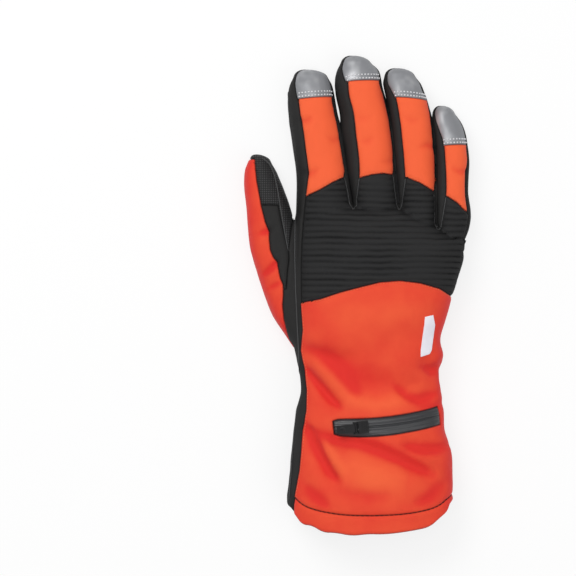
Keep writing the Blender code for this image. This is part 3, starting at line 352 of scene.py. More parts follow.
class Track:
    """A table of rows along the glove that is read smoothly between them."""

    def __init__(self, rows: Sequence[tuple[float, ...]], scale: Sequence[float]) -> None:
        """Keeps the rows.

        Args:
            rows: place along the glove, then the columns, all as shares.
            scale: the size in metres of each column's unit, the first for the place.
        """
        self.rows = np.array(rows, float) * np.array(scale, float)
        self.tangents = np.gradient(self.rows, self.rows[:, 0], axis=0)

    @property
    def start(self) -> float:
        """The first place along the glove."""
        return float(self.rows[0, 0])

    @property
    def end(self) -> float:
        """The last place along the glove."""
        return float(self.rows[-1, 0])

    def at(self, along: np.ndarray) -> np.ndarray:
        """Reads the columns by cubic interpolation.

        Args:
            along: places along the glove, in metres.

        Returns:
            One row of columns for each place, without the place itself.
        """
        place = np.clip(along, self.start, self.end)
        i = np.clip(np.searchsorted(self.rows[:, 0], place, side="right") - 1, 0, len(self.rows) - 2)
        span = self.rows[i + 1, 0] - self.rows[i, 0]
        t = ((place - self.rows[i, 0]) / span)[..., None]
        a, b = self.rows[i], self.rows[i + 1]
        ta, tb = self.tangents[i] * span[..., None], self.tangents[i + 1] * span[..., None]
        near = 2 * t**3 - 3 * t**2 + 1
        lean = t**3 - 2 * t**2 + t
        far = -2 * t**3 + 3 * t**2
        pull = t**3 - t**2
        return (near * a + lean * ta + far * b + pull * tb)[..., 1:]


def edge_angle(share: np.ndarray, above: bool) -> np.ndarray:
    """The angle round a section where its surface lies at a share of the half width."""
    power = TOP_POWER if above else SOLE_POWER
    across = np.sign(share) * np.abs(share) ** (power / 2)
    angle = np.arccos(np.clip(across, -1.0, 1.0))
    return angle if above else 2 * math.pi - angle


def flat_grid(shape: bmesh.types.BMesh, across: int, along: int) -> list[bmesh.types.BMVert]:
    """Adds a flat grid from -1 to 1 to a mesh, to be shaped or rolled up, and returns its points."""
    return bmesh.ops.create_grid(shape, x_segments=across, y_segments=along, size=1.0)["verts"]


@dataclass
class Tube:
    """One lofted tube of the glove: the hand with its cuff, a finger, or the thumb."""

    track: Track
    depth: float
    floor: float
    sides: int
    rings: int
    profile: Sequence[tuple[float, float, float]] = ()
    line: Shares = ()

    def section(self, along: np.ndarray) -> tuple[np.ndarray, ...]:
        """The section of the tube at places along the glove.

        Args:
            along: places along the glove, in metres.

        Returns:
            The middle, the half width, the widest level, and the lowest and highest level.
        """
        columns = self.track.at(along)
        left, right = columns[..., 0], columns[..., 1]
        if self.profile:
            share = (along - self.track.start) / (self.track.end - self.track.start)
            steps = np.array(self.profile)
            low = np.interp(share, steps[:, 0], steps[:, 1]) * self.depth
            high = np.interp(share, steps[:, 0], steps[:, 2]) * self.depth
        else:
            low, high = columns[..., 2], columns[..., 3]
        return (left + right) / 2, (right - left) / 2, low + (high - low) * WIDEST, low, high

    def angle(self, points: np.ndarray) -> np.ndarray:
        """The angle of points round the tube, from +X through +Z, from 0 to a full turn."""
        middle, half, level, low, high = self.section(points[:, 1])
        across = (points[:, 0] - middle) / half
        up = points[:, 2] - level
        above = up >= 0
        rise = np.where(above, high - level, level - low)
        power = np.where(above, TOP_POWER, SOLE_POWER) / 2
        s = np.sign(across) * np.abs(across) ** power
        w = np.sign(up) * np.abs(up / rise) ** power
        return np.mod(np.arctan2(w, s), 2 * math.pi)

    def edge(self, points: np.ndarray, column: int, above: bool, spread: float = 0.0) -> np.ndarray:
        """The angle of a sewn edge of the tube beside points.

        Args:
            points: the points.
            column: the column of the tube's table that holds the edge.
            above: whether the edge is on the upper side.
            spread: how far from the tip the edge starts to move to its side.

        Returns:
            The angles.
        """
        share = self.track.at(points[:, 1])[:, column]
        if column == 2 and not spread and self.line:
            middle, half, _, _, _ = self.section(points[:, 1])
            along, across = np.array(self.line)[::-1].T
            share = np.clip((np.interp(points[:, 1], along, across) - middle) / half, -EDGE_MOST, EDGE_MOST)
        if spread:
            t = np.clip((points[:, 1] - self.track.end + spread) / spread, 0, 1) ** 1.2
            share = share + (np.where(share < 0, *TIP_SIDES) - share) * t
        return edge_angle(share, above)

    def loft(self, shape: bmesh.types.BMesh, settle: Settle) -> None:
        """Adds the closed tube to a mesh, rolled up from a flat grid.

        Args:
            shape: the mesh to add to.
            settle: moves the points of the tube, given them and the places of their sections.
        """
        grid = flat_grid(shape, self.sides, self.rings)
        flat = np.array([vert.co for vert in grid])
        angle = (flat[:, 0] + 1) * math.pi
        share = (flat[:, 1] + 1) / 2
        dome = np.zeros(len(share))
        if self.profile:
            straight = 1 - DOME_SHARE
            dome = np.clip((share - straight) / DOME_SHARE, 0, 1)
            share = np.where(dome > 0, 1.0, share / straight)
        along = self.track.start + (self.track.end - self.track.start) * share
        middle, half, level, low, high = self.section(along)
        shrink = np.cos(dome * math.pi / 2 * DOME_TURN)
        middle = middle - DOME_LEAN * half * (1 - shrink)
        half, low, high = half * shrink, level + (low - level) * shrink, level + (high - level) * shrink
        above = np.sin(angle) >= 0
        power = 2 / np.where(above, TOP_POWER, SOLE_POWER)
        across = np.sign(np.cos(angle)) * np.abs(np.cos(angle)) ** power
        up = np.sign(np.sin(angle)) * np.abs(np.sin(angle)) ** power
        height = level + np.where(above, high - level, level - low) * up
        place = along + DOME * np.sin(dome * math.pi / 2)
        points = np.stack([middle + half * across, place, np.maximum(height, self.floor)], axis=1)
        for vert, point in zip(grid, settle(points, along)):
            vert.co = point
        bmesh.ops.remove_doubles(shape, verts=grid, dist=1e-6)
        loose = [edge for edge in shape.edges if edge.is_boundary]
        bmesh.ops.holes_fill(shape, edges=loose, sides=0)


@dataclass
class Outline:
    """A closed outline seen from above, with its points as shares of the width and length."""

    shares: Shares
    lean: float = 0.0

    def inside(self, points: np.ndarray) -> np.ndarray:
        """Which points lie over the outline. With a lean, its foot is set back along +Y."""
        line = np.array(self.shares) * (WIDTH, LENGTH)
        x = points[:, 0]
        y = points[:, 1] - self.lean * (DEPTH - points[:, 2]) / DEPTH
        found = np.zeros(len(points), bool)
        for (x0, y0), (x1, y1) in zip(line, np.roll(line, -1, axis=0)):
            if y0 == y1:
                continue
            crosses = ((y0 > y) != (y1 > y)) & (x < x0 + (y - y0) * (x1 - x0) / (y1 - y0))
            found ^= crosses
        return found


def curve_at(shares: Shares, x: np.ndarray) -> np.ndarray:
    """The height in metres, along the glove, of a line that runs across it, at some x."""
    line = np.array(shares) * (WIDTH, LENGTH)
    return np.interp(x, line[:, 0], line[:, 1])


@dataclass
class GloveForm:
    """The padded form of the glove: its tubes, and which panel each point of their skin belongs to."""

    body: Tube = field(init=False)
    fingers: dict[str, Tube] = field(init=False)
    thumb: Tube = field(init=False)

    def __post_init__(self) -> None:
        """Sets up the tubes from their tables."""
        across = (LENGTH, WIDTH, WIDTH)
        digit = (DIGIT_FLOOR, *DIGIT_GRID, DIGIT_PROFILE)
        self.body = Tube(Track(HAND_ROWS, (*across, DEPTH, DEPTH)), DEPTH, 0.0, *HAND_GRID)
        self.fingers = {
            name: Tube(Track(rows, (*across, 1, 1)), FINGER_DEPTH, *digit)
            for name, rows in FINGER_ROWS.items()
        }
        self.thumb = Tube(Track(THUMB_ROWS, (*across, 1, 1, 1, 1)), THUMB_DEPTH, *digit, THUMB_EDGE)

    def settle_hand(self, points: np.ndarray, along: np.ndarray) -> np.ndarray:
        """Presses the folds into the cuff and lets the front edge fall back on the little finger's side."""
        _, _, level, _, high = self.body.section(along)
        up = np.clip((points[:, 2] - level) / (high - level), 0, 1)
        points[:, 2] -= folds_at(points[:, :2]) * np.minimum(1, up * 1.5)
        start = FRONT_START * LENGTH
        share = np.clip((along - start) / (self.body.track.end - start), 0, 1)
        past = np.maximum(0, points[:, 0] - FRONT_LEFT * WIDTH)
        points[:, 1] -= share * past * FRONT_FALL * LENGTH / WIDTH
        points[:, 0] = np.minimum(points[:, 0], (FRONT_RIGHT + FRONT_EASE * (1 - share)) * WIDTH)
        return points

    def build(self) -> bpy.types.Mesh:
        """Lofts the tubes and joins them. Fingers that nearly touch are joined in turn, so that the
        narrow gaps between them stay open.

        Returns:
            One closed skin of small faces.
        """
        base = self.lofted("base", [self.body, self.fingers["index"], self.fingers["ring"], self.thumb])
        remesh = base.modifiers.new("fuse", "REMESH")
        remesh.mode = "VOXEL"
        remesh.voxel_size = VOXEL
        helpers = [base]
        for name in ("middle", "little"):
            other = self.lofted(name, [self.fingers[name]])
            joint = base.modifiers.new("join_" + name, "BOOLEAN")
            joint.operation = "UNION"
            joint.solver = "MANIFOLD"
            joint.object = other
            helpers.append(other)
        graph = bpy.context.evaluated_depsgraph_get()
        fused = bpy.data.meshes.new_from_object(base.evaluated_get(graph))
        for helper in helpers:
            bpy.data.objects.remove(helper)
        return fused

    def lofted(self, name: str, tubes: Sequence[Tube]) -> bpy.types.Object:
        """Lofts some tubes into one object."""
        shape = bmesh.new()
        for tube in tubes:
            tube.loft(shape, self.settle_hand if tube is self.body else lambda points, along: points)
        bmesh.ops.recalc_face_normals(shape, faces=shape.faces)
        bmesh.ops.triangulate(shape, faces=shape.faces)
        raw = bpy.data.meshes.new(name)
        shape.to_mesh(raw)
        shape.free()
        made = bpy.data.objects.new(name, raw)
        bpy.context.scene.collection.objects.link(made)
        return made

    def tip_line(self, name: str, points: np.ndarray) -> np.ndarray:
        """Where a reflective tip ends along the glove, beside each point."""
        place = np.full(len(points), TIP_LINES[name] * LENGTH)
        middle, half, _, _, _ = self.fingers[name].section(place)
        across = (points[:, 0] - middle) / half
        return place + half * TIP_TILT[name] * across + TIP_BOW * (1 - across**2)

    def on_tip(self, name: str, points: np.ndarray) -> np.ndarray:
        """Which points lie on the reflective tip of a finger."""
        tube = self.fingers[name]
        near = points[:, 1] > self.tip_line(name, points)
        span = (TIP_LINES[name] - 0.01, OUTSIDE)
        return near & self.in_strip(tube, points, span, (3, True), (2, True), TIP_SPREAD)

    def on_strip(self, name: str, points: np.ndarray) -> np.ndarray:
        """Which points lie on the orange strip along the back of a finger."""
        span = (STRIP_START[name], TIP_LINES[name] + 0.01)
        tube = self.fingers[name]
        found = self.in_strip(tube, points, span, (3, True), (2, True))
        middle, half, _, _, _ = tube.section(points[:, 1])
        across = (points[:, 0] - middle) / half
        shares = tube.track.at(points[:, 1])
        found &= (across > shares[:, 2] - STRIP_MARGIN) & (across < shares[:, 3] + STRIP_MARGIN)
        before = points[:, 1] <= self.tip_line(name, points)
        return found & before & (points[:, 1] > curve_at(STRIP_FOOT[name], points[:, 0]))

    def in_strip(self, tube: Tube, points: np.ndarray, span: tuple[float, float], first: tuple[int, bool],
                 last: tuple[int, bool], spread: float = 0.0) -> np.ndarray:
        """Which points lie on a strip sewn along a tube.

        Args:
            tube: the finger or thumb.
            points: the points to sort.
            span: where the strip starts and ends, as shares of the glove's length.
            first: the table column of its first edge, and whether that edge is on the upper side.
            last: the same for its last edge, further round from +X through +Z.
            spread: how far from the tip its edges start to spread to the sides.

        Returns:
            True for each point on the strip.
        """
        y = points[:, 1]
        found = (y > span[0] * LENGTH) & (y < span[1] * LENGTH)
        chosen = points[found]
        if not len(chosen):
            return found
        angle = tube.angle(chosen)
        within = (angle > tube.edge(chosen, *first, spread)) & (angle < tube.edge(chosen, *last, spread))
        middle, half, level, low, high = tube.section(chosen[:, 1])
        up = chosen[:, 2] - level
        above = up >= 0
        power = np.where(above, TOP_POWER, SOLE_POWER)
        rise = np.where(above, high - level, level - low) + REACH
        size = np.abs((chosen[:, 0] - middle) / (half + REACH)) ** power + np.abs(up / rise) ** power
        found[found] = within & (size < 1)
        return found

    def label(self, points: np.ndarray) -> np.ndarray:
        """Sorts points of the skin into the panels.

        Args:
            points: places on the skin.

        Returns:
            The number of each point's panel.
        """
        found = np.full(len(points), NUMBER[Panel.BACK])
        free = np.ones(len(points), bool)

        def claim(panel: Panel, test: Test) -> None:
            """Gives a panel the points that pass its test and are still free."""
            spots = np.flatnonzero(free)
            taken = spots[test(points[spots])]
            found[taken] = NUMBER[panel]
            free[taken] = False

        def low(p: np.ndarray) -> np.ndarray:
            """The palm side."""
            return p[:, 2] < SEAM_LEVEL

        def front(p: np.ndarray) -> np.ndarray:
            """Beyond the crotch of the thumb."""
            return p[:, 1] > 0.08 * LENGTH

        claim(Panel.CUT_AWAY, CUFF_END.inside)
        self.label_thumb(claim)
        claim(Panel.HEM_PALM, lambda p: HEM.inside(p) & low(p))
        claim(Panel.GUSSET, lambda p: HEM.inside(p) & GUSSET_HEM.inside(p))
        claim(Panel.HEM_BACK, HEM.inside)
        for name in FINGERS:
            claim(Panel(f"fingertip_{name}"), lambda p, n=name: self.on_tip(n, p))
            claim(Panel(f"tip_wrap_{name}"), lambda p, n=name: self.beyond(p, n) & (p[:, 2] < TIP_LEVEL))
        claim(Panel.CUFF_PALM, lambda p: low(p) & (p[:, 1] < curve_at(PALM_CUFF_LINE, p[:, 0])))
        claim(Panel.PATCH, lambda p: low(p) & PALM_PATCH.inside(p))
        claim(Panel.PALM, low)
        claim(Panel.GUSSET, lambda p: GUSSET.inside(p) | (GUSSET_UNDER.inside(p) & (p[:, 2] < GUSSET_LEVEL)))
        claim(Panel.KNUCKLE, lambda p: (
            (KNUCKLE.inside(p) & (p[:, 2] > KNUCKLE_LEVEL)) | KNUCKLE_ROOT_SIDE.inside(p)))
        for name in FINGERS:
            claim(Panel(f"finger_back_{name}"), lambda p, n=name: self.on_strip(n, p))
        middles = {name: self.middle_of(name) for name in FINGERS}
        claim(Panel.LITTLE_SIDE, lambda p: front(p) & (p[:, 0] > middles["little"](p[:, 1])))
        for left, right in zip(FINGERS, FINGERS[1:]):
            claim(Panel(f"fourchette_{left}_{right}"), lambda p, a=left, b=right: (
                front(p) & (p[:, 0] > middles[a](p[:, 1])) & (p[:, 0] < middles[b](p[:, 1]))))
        claim(Panel.GUSSET, front)
        claim(Panel.ZIP, lambda p: zip_window().inside(p) & (p[:, 2] > GUSSET_LEVEL))
        return found

    def label_thumb(self, claim: Callable[[Panel, Test], None]) -> None:
        """Sorts the pieces of the thumb, which are sewn on first."""
        strips = (
            (Panel.THUMB_BACK, (-0.115, 0.286), (2, True), (3, False)),
            (Panel.THUMB_UPPER, (0.012, 0.188), (4, True), (2, True)),
            (Panel.THUMB_LOWER, (-0.098, 0.188), (3, False), (5, False)),
        )
        for panel, span, first, last in strips:
            claim(panel, lambda p, s=span, a=first, b=last: self.in_strip(self.thumb, p, s, a, b))
        claim(Panel.THUMB_PALM,
              lambda p: THUMB_INNER.inside(p) | (THUMB_UNDER.inside(p) & (p[:, 2] < SEAM_LEVEL)))

    def beyond(self, points: np.ndarray, name: str) -> np.ndarray:
        """Which points lie on a fingertip beyond the line of its grip wrap."""
        left, right = self.fingers[name].track.at(points[:, 1])[:, :2].T
        beside = (points[:, 0] > left - WRAP_MARGIN) & (points[:, 0] < right + WRAP_MARGIN)
        return beside & (points[:, 1] > WRAP_LINES[name] * LENGTH)

    def middle_of(self, name: str) -> Callable[[np.ndarray], np.ndarray]:
        """The middle line of a finger, from inside the hand out past its tip."""
        rows = np.array(FINGER_ROWS[name])
        line = np.stack([(rows[:, 1] + rows[:, 2]) / 2 * WIDTH, rows[:, 0] * LENGTH], axis=1)
        line = line[line[:, 1] > 0.10 * LENGTH]
        return lambda y: np.interp(y, line[:, 1], line[:, 0])


def below(line: Shares) -> tuple[tuple[float, float], ...]:
    """The outline of everything on the cuff's side of a line across the glove."""
    return ((line[0][0], -0.7), *line, (line[-1][0], -0.7))


def rounded(line: Shares, times: int = 2) -> tuple[tuple[float, float], ...]:
    """The line with its corners cut off, for a softer course."""
    for _ in range(times):
        cut = [line[0]]
        for (x0, y0), (x1, y1) in zip(line, line[1:]):
            cut.append((x0 * 0.75 + x1 * 0.25, y0 * 0.75 + y1 * 0.25))
            cut.append((x0 * 0.25 + x1 * 0.75, y0 * 0.25 + y1 * 0.75))
        line = (*cut, line[-1])
    return tuple(line)


CUFF_END = Outline(below(rounded(CUFF_END_LINE)), CUFF_LEAN)
HEM = Outline(below(rounded(HEM_LINE)), CUFF_LEAN)
PALM_PATCH = Outline(PATCH_LINE)
INDEX_EDGE = tuple(
    ((left + right) / 2 + (right - left) / 2 * edge, along)
    for along, left, right, edge, _ in FINGER_ROWS["index"]
    if 0.206 < along < 0.412
)
CORNER = (-OUTSIDE, -OUTSIDE)
GUSSET = Outline((CORNER, (-OUTSIDE, OUTSIDE), (-0.200, OUTSIDE), *INDEX_EDGE[::-1], *GUSSET_EDGE))
GUSSET_HEM = Outline((CORNER, (-OUTSIDE, -0.30), (-0.262, -0.380), (-0.286, -0.437), (-0.292, -OUTSIDE)))
GUSSET_UNDER = Outline((CORNER, (0.0, -OUTSIDE), (0.0, 0.165), (-OUTSIDE, 0.165)))
KNUCKLE = Outline((*KNUCKLE_TOP, *KNUCKLE_LOW))
KNUCKLE_ROOT_SIDE = Outline((*KNUCKLE_ROOT, *KNUCKLE_LOW))
THUMB_INNER = Outline(((-OUTSIDE, 0.012), (-OUTSIDE, 0.400), *THUMB_VALLEY))
THUMB_UNDER = Outline(((-OUTSIDE, 0.158), *THUMB_SEAM, (-OUTSIDE, -0.010)))


def zip_line(inset: float = 0.0, steps: int = 24) -> tuple[list[Vector], list[Vector]]:
    """The lower and the upper edge of the zip's window, in metres, from left to right."""
    start = Vector((ZIP_LEFT[0] * WIDTH, ZIP_LEFT[1] * LENGTH))
    end = Vector((ZIP_RIGHT[0] * WIDTH, ZIP_RIGHT[1] * LENGTH))
    run = (end - start).normalized()
    across = Vector((-run.y, run.x))
    start, end = start + run * inset, end - run * inset
    lower, upper = [], []
    for i in range(steps + 1):
        t = i / steps
        middle = start + (end - start) * t - across * ZIP_BOW * 4 * t * (1 - t)
        taper = (1 - ZIP_TAPER * max(0.0, 1 - 2 * t) ** 14) * (ZIP_WIDTH / 2 - inset)
        lower.append(middle - across * taper)
        upper.append(middle + across * taper)
    return lower, upper


def zip_window(inset: float = 0.0) -> Outline:
    """The outline of the zip's window."""
    lower, upper = zip_line(inset)
    return Outline([(point.x / WIDTH, point.y / LENGTH) for point in lower + upper[::-1]])


def away_from(points: np.ndarray, a: Vector, b: Vector) -> tuple[np.ndarray, np.ndarray]:
    """How far points seen from above lie from a line.

    Args:
        points: places on the skin.
        a: the start of the line, in metres.
        b: its end.

    Returns:
        The distance, with its sign for the side, and the share along the line.
    """
    run = b - a
    offset = points[:, :2] - (a.x, a.y)
    share = np.clip(offset @ np.array(run) / run.length_squared, 0, 1)
    rest = offset - share[:, None] * np.array(run)
    side = np.sign(run.x * offset[:, 1] - run.y * offset[:, 0])
    return np.hypot(rest[:, 0], rest[:, 1]) * side, share


def folds_at(points: np.ndarray) -> np.ndarray:
    """How far the main folds of the cuff lower its back."""
    lowered = np.zeros(len(points))
    for x0, y0, x1, y1, width, depth in FOLDS:
        a, b = Vector((x0 * WIDTH, y0 * LENGTH)), Vector((x1 * WIDTH, y1 * LENGTH))
        away, _ = away_from(points, a, b)
        lowered += depth * DEPTH * np.exp(-((away / (width * LENGTH)) ** 2))
    return lowered


class Seam(Enum):
    """How strongly two panels draw each other down where they are sewn: depth and reach in metres."""

    PLAIN = (0.0011, 0.0030)
    DEEP = (0.0015, 0.0040)
    FLAT = (0.0003, 0.0012)
    EDGE = (0.0016, 0.0017)
    WINDOW = (0.0009, 0.0012)
    TIP = (0.0006, 0.0014)


@dataclass(frozen=True)
class Crease:
    """A crease of the cloth: its course, width and depth in millimetres. One below 0 is a raised fold."""

    course: tuple[tuple[float, float], ...]
    width: float
    depth: float
    above: float = 0.012

    def press(self, places: np.ndarray) -> np.ndarray:
        """How far it presses places of the skin in."""
        line = [Vector(point) * 0.001 for point in self.course]
        best = np.full(len(places), 1e9)
        fade = np.zeros(len(places))
        for i, (a, b) in enumerate(zip(line, line[1:])):
            away, share = away_from(places, a, b)
            closer = np.abs(away) < best
            best = np.where(closer, np.abs(away), best)
            fade = np.where(closer, (i + share) / (len(line) - 1), fade)
        taper = np.sin(np.clip(fade, 0.02, 0.98) * math.pi) ** 0.5
        width = self.width * 0.001 * (0.55 + 0.45 * taper)
        upper = np.clip((places[:, 2] - self.above) / 0.006, 0, 1)
        return self.depth * 0.001 * taper * np.exp(-((best / width) ** 2)) * upper


CREASES = (
    Crease(((-33, -45), (-26, -54), (-17, -65), (-11, -70)), 2.6, 1.5),
    Crease(((-34, -33), (-22, -37), (-12, -46), (-4, -58), (3, -64)), 5.5, 1.3),
    Crease(((22, -56), (30, -63), (38, -65), (50, -61)), 3.4, 1.4),
    Crease(((55, -38), (52, -45), (46, -47), (40, -45)), 3.0, 1.7),
    Crease(((57, -66), (48, -70), (38, -70)), 3.0, 0.8),
    Crease(((-33, -80), (-29, -88), (-24, -99), (-18, -110), (-12, -116)), 3.2, 1.7),
    Crease(((-30, -84), (-16, -90), (0, -92), (12, -96), (26, -102), (38, -108), (46, -112)), 4.2, 1.9),
    Crease(((28, -93), (38, -96), (48, -96), (58, -94)), 3.4, 1.4),
    Crease(((-34, -118), (-26, -126), (-18, -132)), 4.0, 1.0),
    Crease(((54, -116), (44, -126), (34, -131)), 4.5, 0.9),
    Crease(((-10, -122), (6, -125), (22, -124)), 5.0, 0.7),
    Crease(((-62, 38), (-56, 40), (-51, 43)), 2.2, 1.0, 0.004),
    Crease(((-60, 12), (-54, 17), (-49, 22)), 2.2, 1.3, 0.004),
    Crease(((-56, 4), (-52, 6), (-48, 8)), 2.0, 0.8, 0.004),
    Crease(((-38, 110), (-33, 109), (-28, 111)), 2.6, 0.9),
    Crease(((-36, 77), (-30, 76), (-24, 79)), 2.8, 0.9),
    Crease(((-20, 100), (-15, 97), (-11, 98)), 2.4, 0.6),
    Crease(((-2, 112), (4, 110), (10, 112)), 2.6, 0.6),
    Crease(((1, 96), (6, 96), (10, 99)), 2.8, 0.8),
    Crease(((14, 84), (19, 83), (23, 85)), 2.4, 0.5),
    Crease(((28, 112), (34, 109), (40, 110)), 2.6, 0.6),
    Crease(((38, 92), (44, 94), (48, 92)), 2.4, 0.8),
    Crease(((70, 78), (64, 77), (58, 80)), 2.4, 0.9),
    Crease(((-14, -36), (-4, -48), (10, -54), (24, -52)), 8.0, 0.55),
    Crease(((-34, -34), (-20, -48), (-4, -64), (11, -69), (28, -65), (40, -57)), 5.0, -0.75),
    Crease(((-22, -88), (-16, -100), (-8, -112)), 4.0, -0.6),
    Crease(((-12, -103), (8, -113), (32, -117)), 12.0, -0.9),
    Crease(((-26, -2), (-4, -14), (22, -12), (48, -4)), 9.0, -0.35),
)


@dataclass
class Skin:
    """The fused form parted along its seams, with the cloth's puffs, ribs and creases pressed in."""

    form: GloveForm
    shape: bmesh.types.BMesh = field(init=False)

    def __post_init__(self) -> None:
        """Builds, parts and shapes the skin."""
        self.shape = bmesh.new()
        fused = self.form.build()
        self.shape.from_mesh(fused)
        bpy.data.meshes.remove(fused)
        bmesh.ops.remove_doubles(self.shape, verts=self.shape.verts, dist=0.0001)
        bmesh.ops.triangulate(self.shape, faces=self.shape.faces)
        axes = {"use_axis_x": True, "use_axis_y": True, "use_axis_z": True}
        for _ in range(SMOOTHINGS):
            bmesh.ops.smooth_vert(self.shape, verts=self.shape.verts, factor=0.5, **axes)
        self.part()
        self.refine(Panel.KNUCKLE)
        self.press()

    def places(self) -> np.ndarray:
        """Where the vertices are."""
        return np.array([vert.co for vert in self.shape.verts])

    def part(self) -> None:
        """Cuts the skin along the seams and notes the panel of every face."""
        shape = self.shape
        mark = shape.verts.layers.int.new("mark")
        owner = shape.faces.layers.int.new("owner")
        shape.verts.index_update()
        places = self.places()
        marks = self.form.label(places)
        for vert, number in zip(shape.verts, marks):
            vert[mark] = int(number)
        edges = list(shape.edges)
        ends = np.array([(edge.verts[0].index, edge.verts[1].index) for edge in edges])
        crossing = np.flatnonzero(marks[ends[:, 0]] != marks[ends[:, 1]])
        first, last = ends[crossing].T
        low, high = np.zeros(len(crossing)), np.ones(len(crossing))
        for _ in range(12):
            middle = (low + high) / 2
            spots = places[first] + (places[last] - places[first]) * middle[:, None]
            same = self.form.label(spots) == marks[first]
            low, high = np.where(same, middle, low), np.where(same, high, middle)
        cut = np.clip((low + high) / 2, 0.05, 0.95)
        seam = []
        for i, share in zip(crossing, cut):
            made = bmesh.utils.edge_split(edges[i], edges[i].verts[0], float(share))[1]
            made[mark] = -1
            seam.append(made)
        bmesh.ops.connect_verts(shape, verts=seam)
        centres = self.form.label(np.array([face.calc_center_median() for face in shape.faces]))
        for face, number in zip(shape.faces, centres):
            known = [vert[mark] for vert in face.verts if vert[mark] >= 0]
            face[owner] = known[0] if known else int(number)

    def refine(self, panel: Panel) -> None:
        """Divides the upper faces of a panel that has fine ribs."""
        owner = self.shape.faces.layers.int["owner"]
        edges = {
            edge
            for face in self.shape.faces
            if face[owner] == NUMBER[panel] and face.normal.z > RIB_SLOPE
            for edge in face.edges
        }
        bmesh.ops.subdivide_edges(self.shape, edges=list(edges), cuts=1, use_grid_fill=True)
        wide = [face for face in self.shape.faces if len(face.verts) > 3]
        bmesh.ops.triangulate(self.shape, faces=wide)

    def press(self) -> None:
        """Draws the cloth down at the seams, and presses in its ribs, puckers and creases. It also keeps,
        for the colours, the distance to the nearest seam, a painted shade for the creases, the rib grooves
        and the sides that slope away from the light above, and a place across the grip dots.
        """
        shape = self.shape
        owner = shape.faces.layers.int["owner"]
        owners = [{face[owner] for face in vert.link_faces} for vert in shape.verts]
        marks = np.array([min(found) if len(found) == 1 else -1 for found in owners])
        seam = [(vert, found) for vert, found in zip(shape.verts, owners) if len(found) > 1]
        tree = KDTree(len(seam))
        styles = []
        for i, (vert, found) in enumerate(seam):
            tree.insert(vert.co, i)
            styles.append(seam_style({ORDER[number] for number in found}).value)
        tree.balance()
        styles = np.array(styles)
        shape.normal_update()
        places = self.places()
        normals = np.array([vert.normal for vert in shape.verts])
        nearest = [tree.find(vert.co) for vert in shape.verts]
        roots = np.array([found[0] for found in nearest])
        style = styles[[found[1] for found in nearest]]
        away = np.array([found[2] for found in nearest])
        depth, folds = self.sunk(places, normals, away, roots, style, marks)
        moved = places - normals * depth[:, None]
        moved[:, 2] = np.maximum(moved[:, 2], LOWEST)
        layers = {name: shape.verts.layers.float.new(name) for name in ("seam", "painted_shade", "wrap")}
        # Painted shade: darker in the creases and rib grooves, and on the sides that slope away from the
        # light above; raised folds take some of it away.
        slope = np.clip(1 - normals[:, 2], 0, 1)
        painted_shade = np.clip(folds / 0.0017 * 0.75 + slope**1.4 * 0.85, -1, 1)
        wrap = np.where(np.abs(normals[:, 0]) > 0.75, places[:, 2], places[:, 0])
        for vert, place, *values in zip(shape.verts, moved, away, painted_shade, wrap):
            vert.co = place
            for layer, value in zip(layers.values(), values):
                vert[layer] = float(value)

    def sunk(self, places: np.ndarray, normals: np.ndarray, away: np.ndarray, roots: np.ndarray,
             style: np.ndarray, marks: np.ndarray) -> tuple[np.ndarray, np.ndarray]:
        """How far each point of the skin is pressed in along its normal.

        Args:
            places: the points.
            normals: their outward directions.
            away: how far each lies from the nearest seam.
            roots: the nearest point of that seam.
            style: the depth and reach of that seam.
            marks: the number of each point's panel, or -1 on a seam.

        Returns:
            The depths in metres, and the part of them that the creases make.
        """
        pucker = np.array([noise.noise(Vector(root) * 210) for root in roots])
        slow = np.array([noise.noise(Vector(root) * 60 + Vector((7, 0, 0))) for root in roots])
        reach = style[:, 1] * (1 + 0.25 * slow)
        share = np.clip(away / reach, 0, 1)
        depth = style[:, 0] * (1 - share) ** 2.2
        depth += style[:, 0] * 0.45 * pucker * share * np.exp(1 - 3.0 * share)
        soft = np.array([noise.noise(Vector(place) * 42) for place in places])
        fine = np.array([noise.noise(Vector(place) * 115 + Vector((0, 9, 0))) for place in places])
        inner = np.clip(away / 0.006, 0, 1)
        depth += (0.0007 * soft + 0.00022 * fine) * inner
        folds = sum(crease.press(places) for crease in CREASES)
        depth += folds
        for panel, start in CONTACTS.items():
            side = (marks == NUMBER[panel]) & (places[:, 2] > 0.004)
            near = np.clip((start - places[:, 1]) / 0.008, 0, 1)
            swell = 0.0005 * near * np.clip(away / 0.003, 0, 1) * np.abs(normals[:, 0])
            depth -= np.where(side, swell, 0)
        ribs = self.ribs(places, normals, away, marks)
        depth += ribs + self.gathers(places, normals, marks)
        return depth, folds + ribs

    def ribs(self, places: np.ndarray, normals: np.ndarray, away: np.ndarray,
             marks: np.ndarray) -> np.ndarray:
        """The grooves between the ribs of the knuckle panel."""
        ribbed = np.flatnonzero((marks == NUMBER[Panel.KNUCKLE]) & (normals[:, 2] > -0.2))
        found = np.zeros(len(places))
        for i in ribbed:
            x, y, _ = places[i]
            drift = 0.0011 * noise.noise(Vector((x * 26, y * 30, 3)))
            drift += 0.0005 * noise.noise(Vector((x * 90, y * 60, 8)))
            strength = 0.72 + 0.55 * noise.noise(Vector((x * 38, y * 150, 5)))
            groove = 1 - abs(math.cos(math.pi * (y + drift) / RIB_PITCH)) ** 0.55
            level = min(1.0, max(0.0, normals[i][2] / 0.4))
            found[i] = RIB_DEPTH * groove * strength * level * min(1, away[i] / RIB_EDGE)
        return found

